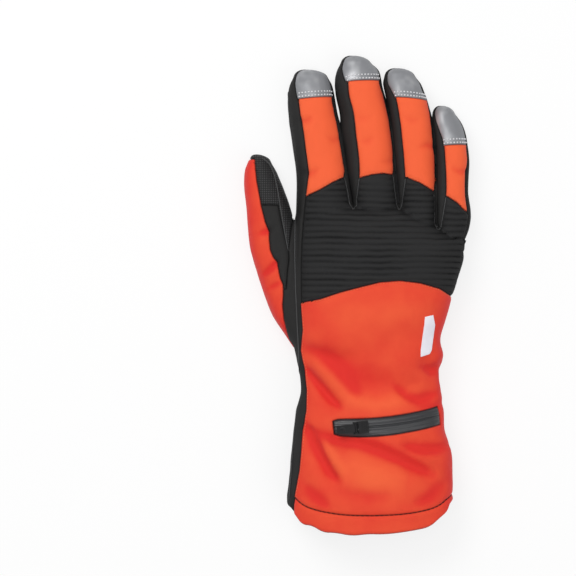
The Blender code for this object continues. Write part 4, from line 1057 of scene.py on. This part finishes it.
    def gathers(self, places: np.ndarray, normals: np.ndarray, marks: np.ndarray) -> np.ndarray:
        """The gathers that the wrist's elastic draws in the palm side."""
        panels = [NUMBER[Panel.PALM], NUMBER[Panel.CUFF_PALM]]
        chosen = np.isin(marks, panels) & (normals[:, 2] < 0.3)
        beyond = places[:, 1] - curve_at(PALM_CUFF_LINE, places[:, 0])
        band = np.where(beyond > 0, np.exp(-((beyond / 0.011) ** 2)), np.exp(-((beyond / 0.020) ** 2)))
        drift = 0.9 * np.sin(places[:, 0] * 140 + 1.3) + 25 * beyond * np.sin(places[:, 0] * 60)
        wave = np.sin(places[:, 0] / GATHER_PITCH * 2 * math.pi + drift)
        return np.where(chosen, (0.0010 - 0.0012 * wave) * band, 0)

    def panels(self) -> Iterable[tuple[Panel, bmesh.types.BMesh]]:
        """Each panel of the skin on its own."""
        for number, panel in enumerate(ORDER):
            if panel in (Panel.CUT_AWAY, Panel.ZIP):
                continue
            piece = self.shape.copy()
            layer = piece.faces.layers.int["owner"]
            others = [face for face in piece.faces if face[layer] != number]
            bmesh.ops.delete(piece, geom=others, context="FACES")
            yield panel, piece


def seam_style(panels: set[Panel]) -> Seam:
    """How the cloth is drawn down where some panels meet."""
    if Panel.CUT_AWAY in panels:
        return Seam.EDGE
    if Panel.ZIP in panels:
        return Seam.WINDOW
    names = [panel.value for panel in panels]
    wraps = [name for name in names if name.startswith("tip_wrap")]
    if len(panels) == 2 and wraps and not any("fingertip" in name for name in names):
        return Seam.FLAT
    if panels <= {Panel.HEM_BACK, Panel.GUSSET, Panel.HEM_PALM, Panel.BACK, Panel.CUFF_PALM}:
        return Seam.FLAT if Panel.HEM_BACK not in panels else Seam.PLAIN
    if any("fingertip" in name for name in names):
        return Seam.FLAT if any("finger_back" in name for name in names) else Seam.TIP
    if Panel.PALM in panels and Panel.CUFF_PALM not in panels and Panel.PATCH not in panels:
        return Seam.FLAT
    return Seam.PLAIN


Number = "Value | float"

# Where the colours go into a mix node and come out of it.
MIX_FIRST = 6
MIX_SECOND = 7
MIX_RESULT = 2


@dataclass
class Value:
    """A shader socket that can be reckoned with like a number."""

    weave: "Weave"
    socket: bpy.types.NodeSocket

    def reckon(self, operation: str, *others: Number, flip: bool = False) -> "Value":
        """One step of arithmetic on it."""
        values = [self, *others][::-1] if flip else [self, *others]
        return self.weave.node("ShaderNodeMath", {"operation": operation}, dict(enumerate(values)))[0]

    def __add__(self, other: Number) -> "Value":
        return self.reckon("ADD", other)

    def __sub__(self, other: Number) -> "Value":
        return self.reckon("SUBTRACT", other)

    def __rsub__(self, other: Number) -> "Value":
        return self.reckon("SUBTRACT", other, flip=True)

    def __mul__(self, other: Number) -> "Value":
        return self.reckon("MULTIPLY", other)

    def sine(self) -> "Value":
        """Its sine."""
        return self.reckon("SINE")

    def ramp(self, low: float, high: float) -> "Value":
        """0 below one value, 1 above another, and smooth between."""
        settings = {"interpolation_type": "SMOOTHSTEP"}
        inputs = {"Value": self, "From Min": low, "From Max": high}
        return self.weave.node("ShaderNodeMapRange", settings, inputs)["Result"]


@dataclass
class Weave:
    """One material, and the nodes that make it up."""

    name: str
    material: bpy.types.Material = field(init=False)
    shader: bpy.types.Node = field(init=False)

    def __post_init__(self) -> None:
        """Starts the material with its plain shader."""
        self.material = bpy.data.materials.new(self.name)
        self.material.use_nodes = True
        self.shader = self.material.node_tree.nodes["Principled BSDF"]

    def node(self, kind: str, settings: dict[str, object], inputs: dict) -> "Outputs":
        """Adds a node.

        Args:
            kind: the type of the node.
            settings: its properties.
            inputs: the value, or the socket, that goes into each input.

        Returns:
            Its outputs.
        """
        made = self.material.node_tree.nodes.new(kind)
        for name, value in settings.items():
            setattr(made, name, value)
        for name, value in inputs.items():
            self.feed(made.inputs[name], value)
        return Outputs(self, made)

    def feed(self, socket: bpy.types.NodeSocket, value: object) -> None:
        """Puts a value or another socket into an input."""
        if isinstance(value, Value):
            self.material.node_tree.links.new(value.socket, socket)
        else:
            socket.default_value = value

    def set(self, **values: object) -> None:
        """Sets inputs of the plain shader, with _ for each space in their names."""
        for name, value in values.items():
            self.feed(self.shader.inputs[name.replace("_", " ")], value)

    def place(self) -> tuple[Value, Value, Value]:
        """The place on the object."""
        spot = self.node("ShaderNodeTexCoord", {}, {})["Object"]
        made = self.node("ShaderNodeSeparateXYZ", {}, {"Vector": spot})
        return made["X"], made["Y"], made["Z"]

    def attribute(self, name: str) -> Value:
        """A value kept with the mesh."""
        return self.node("ShaderNodeAttribute", {"attribute_name": name}, {})["Fac"]

    def speckle(self, scale: float, detail: float = 3.0,
                stretch: tuple[float, float, float] = (1, 1, 1)) -> Value:
        """Soft noise that follows the object, from 0 to 1."""
        spot = self.node("ShaderNodeTexCoord", {}, {})["Object"]
        moved = self.node("ShaderNodeVectorMath", {"operation": "MULTIPLY"}, {0: spot, 1: stretch})
        inputs = {"Vector": moved["Vector"], "Scale": scale, "Detail": detail}
        return self.node("ShaderNodeTexNoise", {}, inputs)["Fac"]

    def blend(self, share: Number, first: object, second: object) -> Value:
        """A colour between two."""
        inputs = {"Factor": share, MIX_FIRST: colour(first), MIX_SECOND: colour(second)}
        return self.node("ShaderNodeMix", {"data_type": "RGBA"}, inputs)[MIX_RESULT]

    def bump(self, height: Value, strength: float, distance: float) -> None:
        """Roughens the surface by a height."""
        inputs = {"Height": height, "Strength": strength, "Distance": distance}
        self.set(Normal=self.node("ShaderNodeBump", {}, inputs)["Normal"])

    def paint_seam_shade(self, shaded: Value, reach: float, strength: float, dark: Iterable[float]) -> None:
        """Sets the colour, with painted shade close to the seams.

        Args:
            shaded: the colour away from the seams.
            reach: how far the painted shade reaches, in metres.
            strength: how strong it is on the seam.
            dark: the colour of the painted shade.
        """
        near = 1 - self.attribute("seam").ramp(0.0, reach)
        self.set(Base_Color=self.blend(near * strength, shaded, tuple(dark)))


@dataclass
class Outputs:
    """The outputs of a node."""

    weave: Weave
    node: bpy.types.Node

    def __getitem__(self, name: str | int) -> Value:
        return Value(self.weave, self.node.outputs[name])


def colour(value: object) -> object:
    """A colour with its full opacity, or the socket that carries it."""
    return value if isinstance(value, Value) else (*value, 1.0)


@dataclass(frozen=True)
class Finish:
    """The look of one kind of material."""

    name: str
    base: tuple[float, float, float]
    rough: float
    # The shade colour: the painted shade of folds, grooves and seams, the dull film beside its painted
    # highlight, the colour between grip dots, and a random mottle where there is grain.
    shade: tuple[float, float, float]
    grain: float = 0.0
    metallic: float = 0.0
    specular: float = 0.5
    sheen: float = 0.0
    coat: float = 0.0

    def start(self) -> Weave:
        """The material with its even values."""
        weave = Weave(self.name)
        weave.set(Base_Color=(*self.base, 1.0), Roughness=self.rough, Metallic=self.metallic)
        weave.set(Specular_IOR_Level=self.specular, Sheen_Weight=self.sheen, Coat_Weight=self.coat)
        return weave

    def seam_shade_colour(self, share: float) -> tuple[float, ...]:
        """A share of the shade colour, for the painted shade along a seam."""
        return tuple(channel * share for channel in self.shade)

    def make(self) -> bpy.types.Material:
        """Builds the material."""
        weave = self.start()
        self.dress(weave)
        return weave.material

    def dress(self, weave: Weave) -> None:
        """Adds the pattern of the surface."""
        if self.grain:
            weave.bump(weave.speckle(900, 2), 0.4, self.grain)
            weave.set(Base_Color=weave.blend(weave.speckle(60).ramp(0.3, 0.7) * 0.5, self.base, self.shade))


# Where the painted shade over the hand and the thumb fades out towards the fingers.
PAINTED_SHADE_BEHIND = (0.015, 0.035)
PAINTED_SHADE_BESIDE = (-0.045, -0.040)


@dataclass(frozen=True)
class Cloth(Finish):
    """Woven cloth: a fine twill, with painted shade in its seams, in its folds and on its sloping sides, and
    more painted shade on the hand.
    """

    pitch: float = 0.00055
    relief: float = 0.00006
    # How much painted shade lies over the hand and the thumb.
    painted_hand_shade: float = 0.0

    def dress(self, weave: Weave) -> None:
        """Adds the twill, and the painted shade of the seams, the folds and the hand."""
        x, y, z = weave.place()
        turn = 2 * math.pi / self.pitch
        twill = ((x + z) * turn + y * turn).sine() * 0.5 + ((x + z) * turn * 0.5 - y * turn).sine() * 0.3
        weave.bump(twill + weave.speckle(1400, 2) * 0.8, 0.5, self.relief)
        # Painted shade from the creases, rib grooves and sloping sides, made uneven at random.
        painted_shade = weave.attribute("painted_shade") + (weave.speckle(70) - 0.5) * 0.35
        # Painted shade over the hand and the thumb, fading out towards the fingers.
        if self.painted_hand_shade:
            behind = 1 - y.ramp(*PAINTED_SHADE_BEHIND)
            beside = 1 - x.ramp(*PAINTED_SHADE_BESIDE)
            painted_shade = painted_shade + (behind + beside - behind * beside) * self.painted_hand_shade
        shaded = weave.blend(painted_shade.ramp(0.0, 1.0), self.base, self.shade)
        # Painted shade along the seams.
        weave.paint_seam_shade(shaded, 0.0009, 0.8, self.seam_shade_colour(0.25))


@dataclass(frozen=True)
class Grid(Finish):
    """Cloth with a grid of small raised grip dots."""

    pitch: float = 0.0014
    top: float = 0.0

    def dress(self, weave: Weave) -> None:
        """Adds the dots, and the painted shade along the seams."""
        _, y, _ = weave.place()
        across = weave.attribute("wrap")
        turn = 2 * math.pi / self.pitch
        dots = ((across * turn).sine() * 0.5 + 0.5) * ((y * turn).sine() * 0.5 + 0.5)
        raised = dots.ramp(0.12, 0.50)
        if self.top:
            raised = raised * (1 - weave.place()[2].ramp(self.top, self.top + 0.003))
        weave.bump(raised + weave.speckle(1200, 2) * 0.15, 0.9, 0.00022)
        # Painted shade along the seams.
        weave.paint_seam_shade(weave.blend(raised, self.shade, self.base), 0.0009, 0.6, self.seam_shade_colour(0.3))
        weave.set(Roughness=0.75 - raised * 0.2)


@dataclass(frozen=True)
class Ribbed(Finish):
    """Ribbed knit, with painted shade in the grooves between its ribs, in its folds and on its sloping
    sides.
    """

    def dress(self, weave: Weave) -> None:
        """Adds the fine knit, and the painted shade of the rib grooves, the folds and the seams."""
        x, y, z = weave.place()
        knit = ((x + z) * 6000).sine() * 0.5 + (y * 7000).sine() * 0.4
        weave.bump(knit + weave.speckle(1500, 2), 0.5, 0.00005)
        worn = weave.speckle(45, 2, (1, 3, 1)) * 0.6 - 0.3
        # Painted shade in the rib grooves, the folds and on the sloping sides, made uneven at random.
        cloth = weave.blend((weave.attribute("painted_shade") + worn).ramp(0.0, 0.75), self.base, self.shade)
        # Painted shade along the seams.
        weave.paint_seam_shade(cloth, 0.0010, 0.7, self.seam_shade_colour(0.3))


@dataclass(frozen=True)
class Reflective(Finish):
    """Retroreflective film: a grey of tiny beads, glossier where it is drawn tight, with a painted highlight
    there.
    """

    def dress(self, weave: Weave) -> None:
        """Adds the beads and the crinkles, with a painted highlight on the crinkles."""
        beads = weave.speckle(2600, 2)
        crinkle = weave.speckle(90, 2, (1, 0.6, 1))
        weave.bump(crinkle * 3 + beads * 0.3, 0.35, 0.00025)
        # Painted highlight: the film is lighter, and also glossier, on the crinkles.
        gloss_and_painted_highlight = crinkle.ramp(0.45, 0.75)
        # Painted shade along the seams.
        weave.paint_seam_shade(weave.blend(gloss_and_painted_highlight, self.shade, self.base), 0.0008, 0.6, self.seam_shade_colour(0.35))
        weave.set(Roughness=0.55 - gloss_and_painted_highlight * 0.18)


@dataclass(frozen=True)
class Slick(Finish):
    """A smooth even surface with slight wear."""

    def dress(self, weave: Weave) -> None:
        """Adds the slight unevenness of its shine."""
        wear = weave.speckle(240, 3)
        weave.set(Roughness=wear * 0.16 + (self.rough - 0.08))
        weave.bump(wear, 0.25, self.grain or 0.00003)


class Look(Enum):
    """The finishes of the glove, by material slot, and those of its small trims."""

    ORANGE = Cloth("orange_fabric", (0.86, 0.118, 0.037), 0.72, (0.70, 0.023, 0.015),
                   specular=0.25, sheen=0.06, painted_hand_shade=0.56)
    BLACK = Cloth("black_softshell", (0.0185, 0.0182, 0.0180), 0.78, (0.0070, 0.0068, 0.0068),
                  specular=0.25)
    RIBBED = Ribbed("black_ribbed", (0.0175, 0.0175, 0.0180), 0.80, (0.0050, 0.0050, 0.0052),
                    specular=0.25)
    GRIP = Grid("grip_cloth", (0.036, 0.036, 0.037), 0.62, (0.0090, 0.0090, 0.0092), specular=0.35)
    WRAP = Grid("grip_wrap", (0.030, 0.030, 0.031), 0.7, (0.0170, 0.0168, 0.0166),
                specular=0.25, top=0.008)
    FILM = Reflective("reflective_film", (0.40, 0.405, 0.42), 0.48, (0.24, 0.245, 0.26), metallic=0.25)
    TAPE = Slick("coated_tape", (0.026, 0.027, 0.030), 0.42, (0.02, 0.02, 0.02), specular=0.5, coat=0.15)
    METAL = Slick("dark_metal", (0.008, 0.008, 0.009), 0.45, (0.01, 0.01, 0.01), specular=0.18)
    WHITE = Finish("white_cloth", (0.86, 0.84, 0.90), 0.75, (0.62, 0.61, 0.68),
                   grain=0.00006, specular=0.3)
    LINING = Finish("fleece_lining", (0.020, 0.020, 0.022), 0.95, (0.012, 0.012, 0.013),
                    grain=0.0003, specular=0.1)
    PIPING = Slick("black_piping", (0.045, 0.045, 0.046), 0.55, (0.02, 0.02, 0.02), specular=0.35)
    PALE_THREAD = Finish("pale_thread", (0.74, 0.74, 0.76), 0.7, (0.6, 0.6, 0.62),
                         grain=0.00003, specular=0.3)
    DARK_THREAD = Finish("brown_thread", (0.055, 0.012, 0.009), 0.8, (0.03, 0.008, 0.006),
                         grain=0.00003, specular=0.2)
    ORANGE_THREAD = Finish("orange_thread", (0.80, 0.18, 0.07), 0.7, (0.7, 0.1, 0.04),
                           grain=0.00003, specular=0.3)
    BLACK_THREAD = Finish("black_thread", (0.040, 0.040, 0.041), 0.7, (0.02, 0.02, 0.02),
                          grain=0.00003, specular=0.3)


@dataclass
class Wardrobe:
    """The materials, each made once."""

    made: dict[Look, bpy.types.Material] = field(default_factory=dict)

    def of(self, look: Look) -> bpy.types.Material:
        """The material of a finish."""
        if look not in self.made:
            self.made[look] = look.value.make()
        return self.made[look]


def even(line: Sequence[Vector], step: float) -> list[Vector]:
    """Points at even steps along a line, with its small kinks smoothed."""
    points = [Vector(point) for point in line]
    for _ in range(3):
        inner = [(a + 2 * b + c) / 4 for a, b, c in zip(points, points[1:], points[2:])]
        points = [points[0], *inner, points[-1]]
    lengths = [0.0]
    for a, b in zip(points, points[1:]):
        lengths.append(lengths[-1] + (b - a).length)
    count = max(2, round(lengths[-1] / step))
    places = np.linspace(0, lengths[-1], count + 1)
    columns = [np.interp(places, lengths, column) for column in np.array(points).T]
    return [Vector(spot) for spot in np.stack(columns, axis=1)]


@dataclass
class Ground:
    """The finished skin, for laying trims on it."""

    skin: Skin
    tree: BVHTree = field(init=False)

    def __post_init__(self) -> None:
        """Reads the skin."""
        self.tree = BVHTree.FromBMesh(self.skin.shape)

    def drop(self, x: float, y: float) -> tuple[Vector, Vector]:
        """The point of the skin under a place seen from above, and its normal."""
        spot, normal, _, _ = self.tree.ray_cast(Vector((x, y, 0.09)), Vector((0, 0, -1)))
        return (spot, normal) if spot else self.settle(Vector((x, y, 0.013)))

    def settle(self, point: Vector) -> tuple[Vector, Vector]:
        """The nearest point of the skin and its normal."""
        spot, normal, _, _ = self.tree.find_nearest(point)
        return spot, normal

    def course(self, points: Sequence[tuple[float, float]]) -> list[Vector]:
        """A line over the back of the glove through places given in millimetres."""
        flat = even([Vector((x, y, 0)) * 0.001 for x, y in points], 0.0012)
        return [self.drop(point.x, point.y)[0] for point in flat]

    def seams(self, first: Panel, second: Panel) -> list[list[Vector]]:
        """The lines where two panels meet, the longest first."""
        owner = self.skin.shape.faces.layers.int["owner"]
        pair = {NUMBER[first], NUMBER[second]}
        links: dict[bmesh.types.BMVert, list[bmesh.types.BMVert]] = {}
        for edge in self.skin.shape.edges:
            if len(edge.link_faces) == 2 and {face[owner] for face in edge.link_faces} == pair:
                a, b = edge.verts
                links.setdefault(a, []).append(b)
                links.setdefault(b, []).append(a)
        lines = []
        while links:
            start = next((vert for vert, others in links.items() if len(others) == 1), next(iter(links)))
            line, here = [start.co.copy()], start
            while links.get(here):
                following = links[here].pop()
                links[following].remove(here)
                if not links[here]:
                    del links[here]
                here = following
                line.append(here.co.copy())
            links.pop(here, None)
            links = {vert: others for vert, others in links.items() if others}
            lines.append(line)
        return sorted(lines, key=len, reverse=True)

    def beside(self, line: Sequence[Vector], away: float, towards: Vector) -> list[Vector]:
        """The line moved over the skin to one side.

        Args:
            line: the points of a seam.
            away: how far to move it, in metres.
            towards: the direction that tells which side.

        Returns:
            The moved points, on the skin.
        """
        points = even(line, 0.0008)
        moved = []
        for i, point in enumerate(points):
            run = (points[min(i + 2, len(points) - 1)] - points[max(i - 2, 0)]).normalized()
            spot, normal = self.settle(point)
            side = normal.cross(run).normalized()
            if side.dot(towards) < 0:
                side.negate()
            moved.append(self.settle(spot + side * away)[0])
        return moved


class Tailor:
    """Makes pieces and fastens them to the glove."""

    def __init__(self, wardrobe: Wardrobe) -> None:
        """Keeps the materials."""
        self.wardrobe = wardrobe

    def fit(self, name: str, shape: bmesh.types.BMesh, look: Look) -> bpy.types.Object:
        """Turns a finished mesh into a piece that rides the glove.

        Args:
            name: the name of the piece.
            shape: its mesh, which is freed.
            look: its finish.

        Returns:
            The piece.
        """
        mesh = bpy.data.meshes.new(name)
        for face in shape.faces:
            face.smooth = True
        shape.to_mesh(mesh)
        shape.free()
        mesh.validate()
        mesh.materials.append(self.wardrobe.of(look))
        piece = bpy.data.objects.new(name, mesh)
        bpy.context.scene.collection.objects.link(piece)
        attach(piece, GLOVE)
        slot = Look.GRIP.value.name if look is Look.WRAP else look.value.name
        slot in SLOT_NAMES
        return piece

    def thicken(self, piece: bpy.types.Object, depth: float, lined: bool = False) -> None:
        """Gives a piece its thickness inwards, with a lining if it has one."""
        solid = piece.modifiers.new("thickness", "SOLIDIFY")
        solid.thickness = depth
        solid.offset = -1
        if lined:
            piece.data.materials.append(self.wardrobe.of(Look.LINING))
            solid.material_offset = 1


@dataclass
class Stitching:
    """A row of stitches laid on the skin."""

    pitch: float
    length: float
    radius: float
    look: Look

    def sew(self, shape: bmesh.types.BMesh, ground: Ground, line: Sequence[Vector]) -> None:
        """Adds a row to a mesh.

        Args:
            shape: the mesh.
            ground: the skin it lies on.
            line: where it runs.
        """
        points = even(line, self.pitch)
        for a, b in zip(points, points[1:]):
            middle, normal = ground.settle((a + b) / 2)
            run = (b - a).normalized()
            side = normal.cross(run).normalized()
            up = run.cross(side)
            half = self.length / 2
            frame = Matrix((run * half, side * self.radius, up * self.radius)).transposed().to_4x4()
            frame.translation = middle + up * self.radius * 0.45
            frame = frame @ TURNED
            bmesh.ops.create_uvsphere(shape, u_segments=6, v_segments=4, radius=1.0, matrix=frame)


@dataclass
class Piping:
    """A thin cord sewn into a seam, sunk by a share of its thickness."""

    radius: float
    sunk: float = 0.35

    def lay(self, shape: bmesh.types.BMesh, ground: Ground, line: Sequence[Vector]) -> None:
        """Adds the cord to a mesh, rolled up from a flat grid along its line."""
        points = even(line, 0.0012)
        if len(points) < 4:
            return
        normals = [ground.settle(point)[1] for point in points]
        last = len(points) - 1
        grid = flat_grid(shape, 8, last)
        for vert in grid:
            i = round((vert.co.y + 1) / 2 * last)
            angle = (vert.co.x + 1) * math.pi
            run = (points[min(i + 1, last)] - points[max(i - 1, 0)]).normalized()
            side = normals[i].cross(run).normalized()
            up = run.cross(side)
            ends = min(i, last - i)
            radius = self.radius * (0.15 if ends == 0 else 0.75 if ends == 1 else 1.0)
            centre = points[i] + up * self.radius * (1 - 2 * self.sunk)
            vert.co = centre + (side * math.cos(angle) - up * math.sin(angle)) * radius
        bmesh.ops.remove_doubles(shape, verts=grid, dist=1e-6)


@dataclass
class Trims:
    """The stitches and piping of the glove."""

    ground: Ground
    tailor: Tailor

    def build(self) -> None:
        """Sews them all."""
        self.tips()
        self.edges()
        self.cords()

    def rows(self, name: str, stitching: Stitching, lines: Iterable[Sequence[Vector]]) -> None:
        """Sews rows of stitches as one piece."""
        shape = bmesh.new()
        for line in lines:
            if len(line) > 3:
                stitching.sew(shape, self.ground, line)
        self.tailor.fit(name, shape, stitching.look)

    def seam_row(self, first: Panel, second: Panel, away: float, side: Vector) -> list[list[Vector]]:
        """The row beside the longest seam of two panels, or nothing where they don't meet."""
        return [self.ground.beside(line, away, side) for line in self.ground.seams(first, second)[:1]]

    def tips(self) -> None:
        """The double rows that hold each reflective tip."""
        stitching = Stitching(0.0020, 0.0012, 0.00052, Look.PALE_THREAD)
        for name in FINGERS:
            pair = Panel(f"fingertip_{name}"), Panel(f"finger_back_{name}")
            rows = self.seam_row(*pair, 0.0013, FORWARD) + self.seam_row(*pair, 0.0035, FORWARD)
            self.rows("tip_stitches_" + name, stitching, rows)

    def edges(self) -> None:
        """The rows beside the seams of the back, the hem and the palm."""
        fine = Stitching(0.0019, 0.0014, 0.00020, Look.ORANGE_THREAD)
        hem = Stitching(0.0030, 0.0026, 0.00026, Look.DARK_THREAD)
        black = Stitching(0.0030, 0.0025, 0.00024, Look.BLACK_THREAD)
        for name in FINGERS:
            row = self.seam_row(Panel.KNUCKLE, Panel(f"finger_back_{name}"), 0.0011, FORWARD)
            self.rows("strip_stitches_" + name, fine, row)
        for name, stitching, first, away, side in (
            ("back_top_stitches", fine, Panel.KNUCKLE, 0.0012, BACKWARD),
            ("back_side_stitches", fine, Panel.GUSSET, 0.0012, RIGHT),
            ("hem_stitches", hem, Panel.HEM_BACK, 0.0002, BACKWARD),
        ):
            self.rows(name, stitching, self.seam_row(first, Panel.BACK, away, side))
        rows = self.seam_row(Panel.HEM_PALM, Panel.CUFF_PALM, 0.0010, BACKWARD)
        rows += self.seam_row(Panel.PALM, Panel.CUFF_PALM, 0.0011, BACKWARD)
        self.rows("palm_stitches", black, rows)
        rows = []
        for line in self.ground.seams(Panel.PALM, Panel.PATCH)[:1]:
            middle = sum(line, Vector()) / len(line)
            inner = [point + (middle - point).normalized() * 0.0014 for point in line]
            rows.append([self.ground.settle(point)[0] for point in inner])
        self.rows("patch_stitches", black, rows)

    def cords(self) -> None:
        """The piping in the seams round the fingers, the thumb and the side."""
        seams = [line for panel in BETWEEN for line in self.ground.seams(Panel.KNUCKLE, panel)[:2]]
        courses = [self.ground.course(line) for line in SIDE_CORDS]
        for name, radius, lines in (
            ("knuckle_piping", 0.00048, seams),
            ("side_piping", 0.00045, courses),
        ):
            shape = bmesh.new()
            cord = Piping(radius)
            for line in lines:
                cord.lay(shape, self.ground, line)
            self.tailor.fit(name, shape, Look.PIPING)


@dataclass
class Zip:
    """The zip in the back of the cuff: its coated tape with two lips over the teeth, slider and pull."""

    ground: Ground
    tailor: Tailor
    steps: int = 150
    rows: int = 34

    def lips(self, across: float) -> float:
        """How high the tape stands at a share of its half width, from -1 at the lower edge to 1."""
        off = abs(across - 0.06)
        lip = 0.00075 * math.exp(-(((off - 0.17) / 0.17) ** 2))
        slit = -0.00075 * math.exp(-((off / 0.045) ** 2))
        ledge = 0.00028 * math.exp(-(((off - 0.52) / 0.10) ** 2))
        rim = -0.0010 * max(0.0, (abs(across) - 0.86) / 0.14)
        return lip + slit + ledge + rim

    def build(self) -> None:
        """Builds the tape. The slider and the pull keep the shapes of the model; the glove gives them dark
        metal.
        """
        lower, upper = zip_line(-0.0010, self.steps)
        shape = bmesh.new()
        for vert in flat_grid(shape, self.steps, self.rows):
            i = round((vert.co.x + 1) / 2 * self.steps)
            share = (vert.co.y + 1) / 2
            spot = lower[i] + (upper[i] - lower[i]) * share
            place, _ = self.ground.drop(spot.x, spot.y)
            sink = 0.0015 * min(1.0, max(0.0, abs(2 * i / self.steps - 1) - 0.953) / 0.024)
            level = place.z - 0.0005 - sink + self.lips(vert.co.y)
            vert.co = (spot.x, spot.y, level)
        piece = self.tailor.fit("coated_zip_tape", shape, Look.TAPE)
        self.tailor.thicken(piece, TAPE_THICK)
        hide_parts("zipper_tape")


@dataclass
class Tab:
    """The plain white tab sewn on the back."""

    ground: Ground
    tailor: Tailor

    def build(self) -> None:
        """Cuts the tab from a flat sheet and lays it on the skin."""
        shape = bmesh.new()
        corners = [(x * WIDTH, y * LENGTH) for x, y in TAB_LINE]
        x0, x1 = min(x for x, _ in corners), max(x for x, _ in corners)
        y0, y1 = min(y for _, y in corners), max(y for _, y in corners)
        bmesh.ops.create_grid(shape, x_segments=22, y_segments=52, size=0.5)
        bmesh.ops.scale(shape, verts=shape.verts, vec=(x1 - x0, y1 - y0, 1))
        bmesh.ops.translate(shape, verts=shape.verts, vec=((x0 + x1) / 2, (y0 + y1) / 2, 0))
        turning = sum(a[0] * b[1] - b[0] * a[1] for a, b in zip(corners, corners[1:] + corners[:1]))
        for a, b in zip(corners, corners[1:] + corners[:1]):
            out = Vector((b[1] - a[1], a[0] - b[0], 0)) * (1 if turning > 0 else -1)
            geometry = [*shape.verts, *shape.edges, *shape.faces]
            bmesh.ops.bisect_plane(
                shape, geom=geometry, dist=1e-7, plane_co=(*a, 0), plane_no=out, clear_outer=False
            )
        centres = np.array([face.calc_center_median() for face in shape.faces])
        kept = Outline(TAB_LINE).inside(centres)
        outer = [face for face, keep in zip(shape.faces, kept) if not keep]
        bmesh.ops.delete(shape, geom=outer, context="FACES")
        for vert in shape.verts:
            place, _ = self.ground.drop(vert.co.x, vert.co.y)
            vert.co.z = place.z + TAB_LIFT
        piece = self.tailor.fit("white_tab", shape, Look.WHITE)
        self.tailor.thicken(piece, TAB_THICK)
        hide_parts("white_patch")


@dataclass
class Glove:
    """The whole glove."""

    frame: dict
    wardrobe: Wardrobe = field(default_factory=Wardrobe)

    def build(self) -> None:
        """Dresses every node of the model."""
        tailor = Tailor(self.wardrobe)
        skin = Skin(GloveForm())
        LOG.info("skin of %d faces", len(skin.shape.faces))
        for panel, shape in skin.panels():
            look = look_of(panel.value)
            piece = tailor.fit("skin_" + panel.value, shape, look)
            tailor.thicken(piece, HEM_THICK if "hem" in panel.value else CLOTH_THICK, lined=True)
            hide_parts(panel.value)
        ground = Ground(skin)
        Trims(ground, tailor).build()
        Zip(ground, tailor).build()
        Tab(ground, tailor).build()
        for name in ("zipper_slider", "zipper_pull"):
            part = self.frame["nodes"][name]
            part.data.materials.clear()
            part.data.materials.append(self.wardrobe.of(Look.METAL))
        skin.shape.free()


LOOK_OF = {
    "back_panel": Look.ORANGE,
    "hem_back": Look.ORANGE,
    "finger_back": Look.ORANGE,
    "thumb_back": Look.ORANGE,
    "fingertip": Look.FILM,
    "knuckle": Look.RIBBED,
    "palm": Look.GRIP,
    "thumb_palm": Look.GRIP,
    "tip_wrap": Look.WRAP,
}
SLOT_NAMES = {
    "orange_fabric", "reflective_film", "black_softshell", "black_ribbed", "grip_cloth", "coated_tape",
    "dark_metal", "white_cloth",
}


def look_of(node: str) -> Look:
    """The finish of a node."""
    return next((look for start, look in LOOK_OF.items() if node.startswith(start)), Look.BLACK)


@dataclass(frozen=True)
class Lamp:
    """One soft light of the studio."""

    name: str
    place: tuple[float, float, float]
    size: float
    power: float

    def hang(self) -> None:
        """Adds the light, turned to the glove."""
        data = bpy.data.lights.new(self.name, "AREA")
        data.energy = self.power
        data.shape = "DISK"
        data.size = self.size
        lamp = bpy.data.objects.new(self.name, data)
        lamp.location = self.place
        lamp.rotation_euler = (-Vector(self.place)).to_track_quat("-Z", "Y").to_euler()
        bpy.context.scene.collection.objects.link(lamp)


LAMPS = (
    Lamp("key", (-0.55, 0.75, 1.25), 0.9, 11.0),
    Lamp("fill", (0.9, -0.5, 1.3), 1.4, 5.0),
    Lamp("top", (0.0, 0.0, 2.0), 1.2, 8.0),
)
PURE_WHITE = (1.0, 1.0, 1.0, 1.0)
FLOOR_GREY = (0.20, 0.20, 0.20, 1.0)
FLOOR_GLOW = 0.78
SKY_GLOW = 0.42
LENS = 250
SENSOR_WIDTH = 36
CAMERA_PLACE = (-0.04375, 0.004375, 2.53)


class Studio:
    """The pale floor, the lights and the camera straight above."""

    def build(self) -> None:
        """Sets the scene up."""
        shape = bmesh.new()
        bmesh.ops.create_grid(shape, x_segments=1, y_segments=1, size=2.0)
        mesh = bpy.data.meshes.new("floor")
        shape.to_mesh(mesh)
        shape.free()
        floor = bpy.data.objects.new("floor", mesh)
        pale = Weave("floor")
        pale.set(Base_Color=FLOOR_GREY, Roughness=0.9, Specular_IOR_Level=0.0)
        pale.set(Emission_Color=PURE_WHITE, Emission_Strength=FLOOR_GLOW)
        mesh.materials.append(pale.material)
        bpy.context.scene.collection.objects.link(floor)
        for lamp in LAMPS:
            lamp.hang()
        world = bpy.data.worlds.new("studio")
        bpy.context.scene.world = world
        world.use_nodes = True
        backdrop = world.node_tree.nodes["Background"]
        backdrop.inputs["Color"].default_value = PURE_WHITE
        backdrop.inputs["Strength"].default_value = SKY_GLOW
        camera = bpy.data.objects.new("camera", bpy.data.cameras.new("camera"))
        camera.data.lens = LENS
        camera.data.sensor_width = SENSOR_WIDTH
        camera.location = CAMERA_PLACE
        bpy.context.scene.collection.objects.link(camera)
        bpy.context.scene.camera = camera
        bpy.context.scene.view_settings.view_transform = "Standard"


def main() -> None:
    """Builds the dressed glove, its floor, its lights and its camera."""
    logging.basicConfig(level=logging.INFO)
    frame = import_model()
    Glove(frame).build()
    Studio().build()


if __name__ == "__main__":
    main()
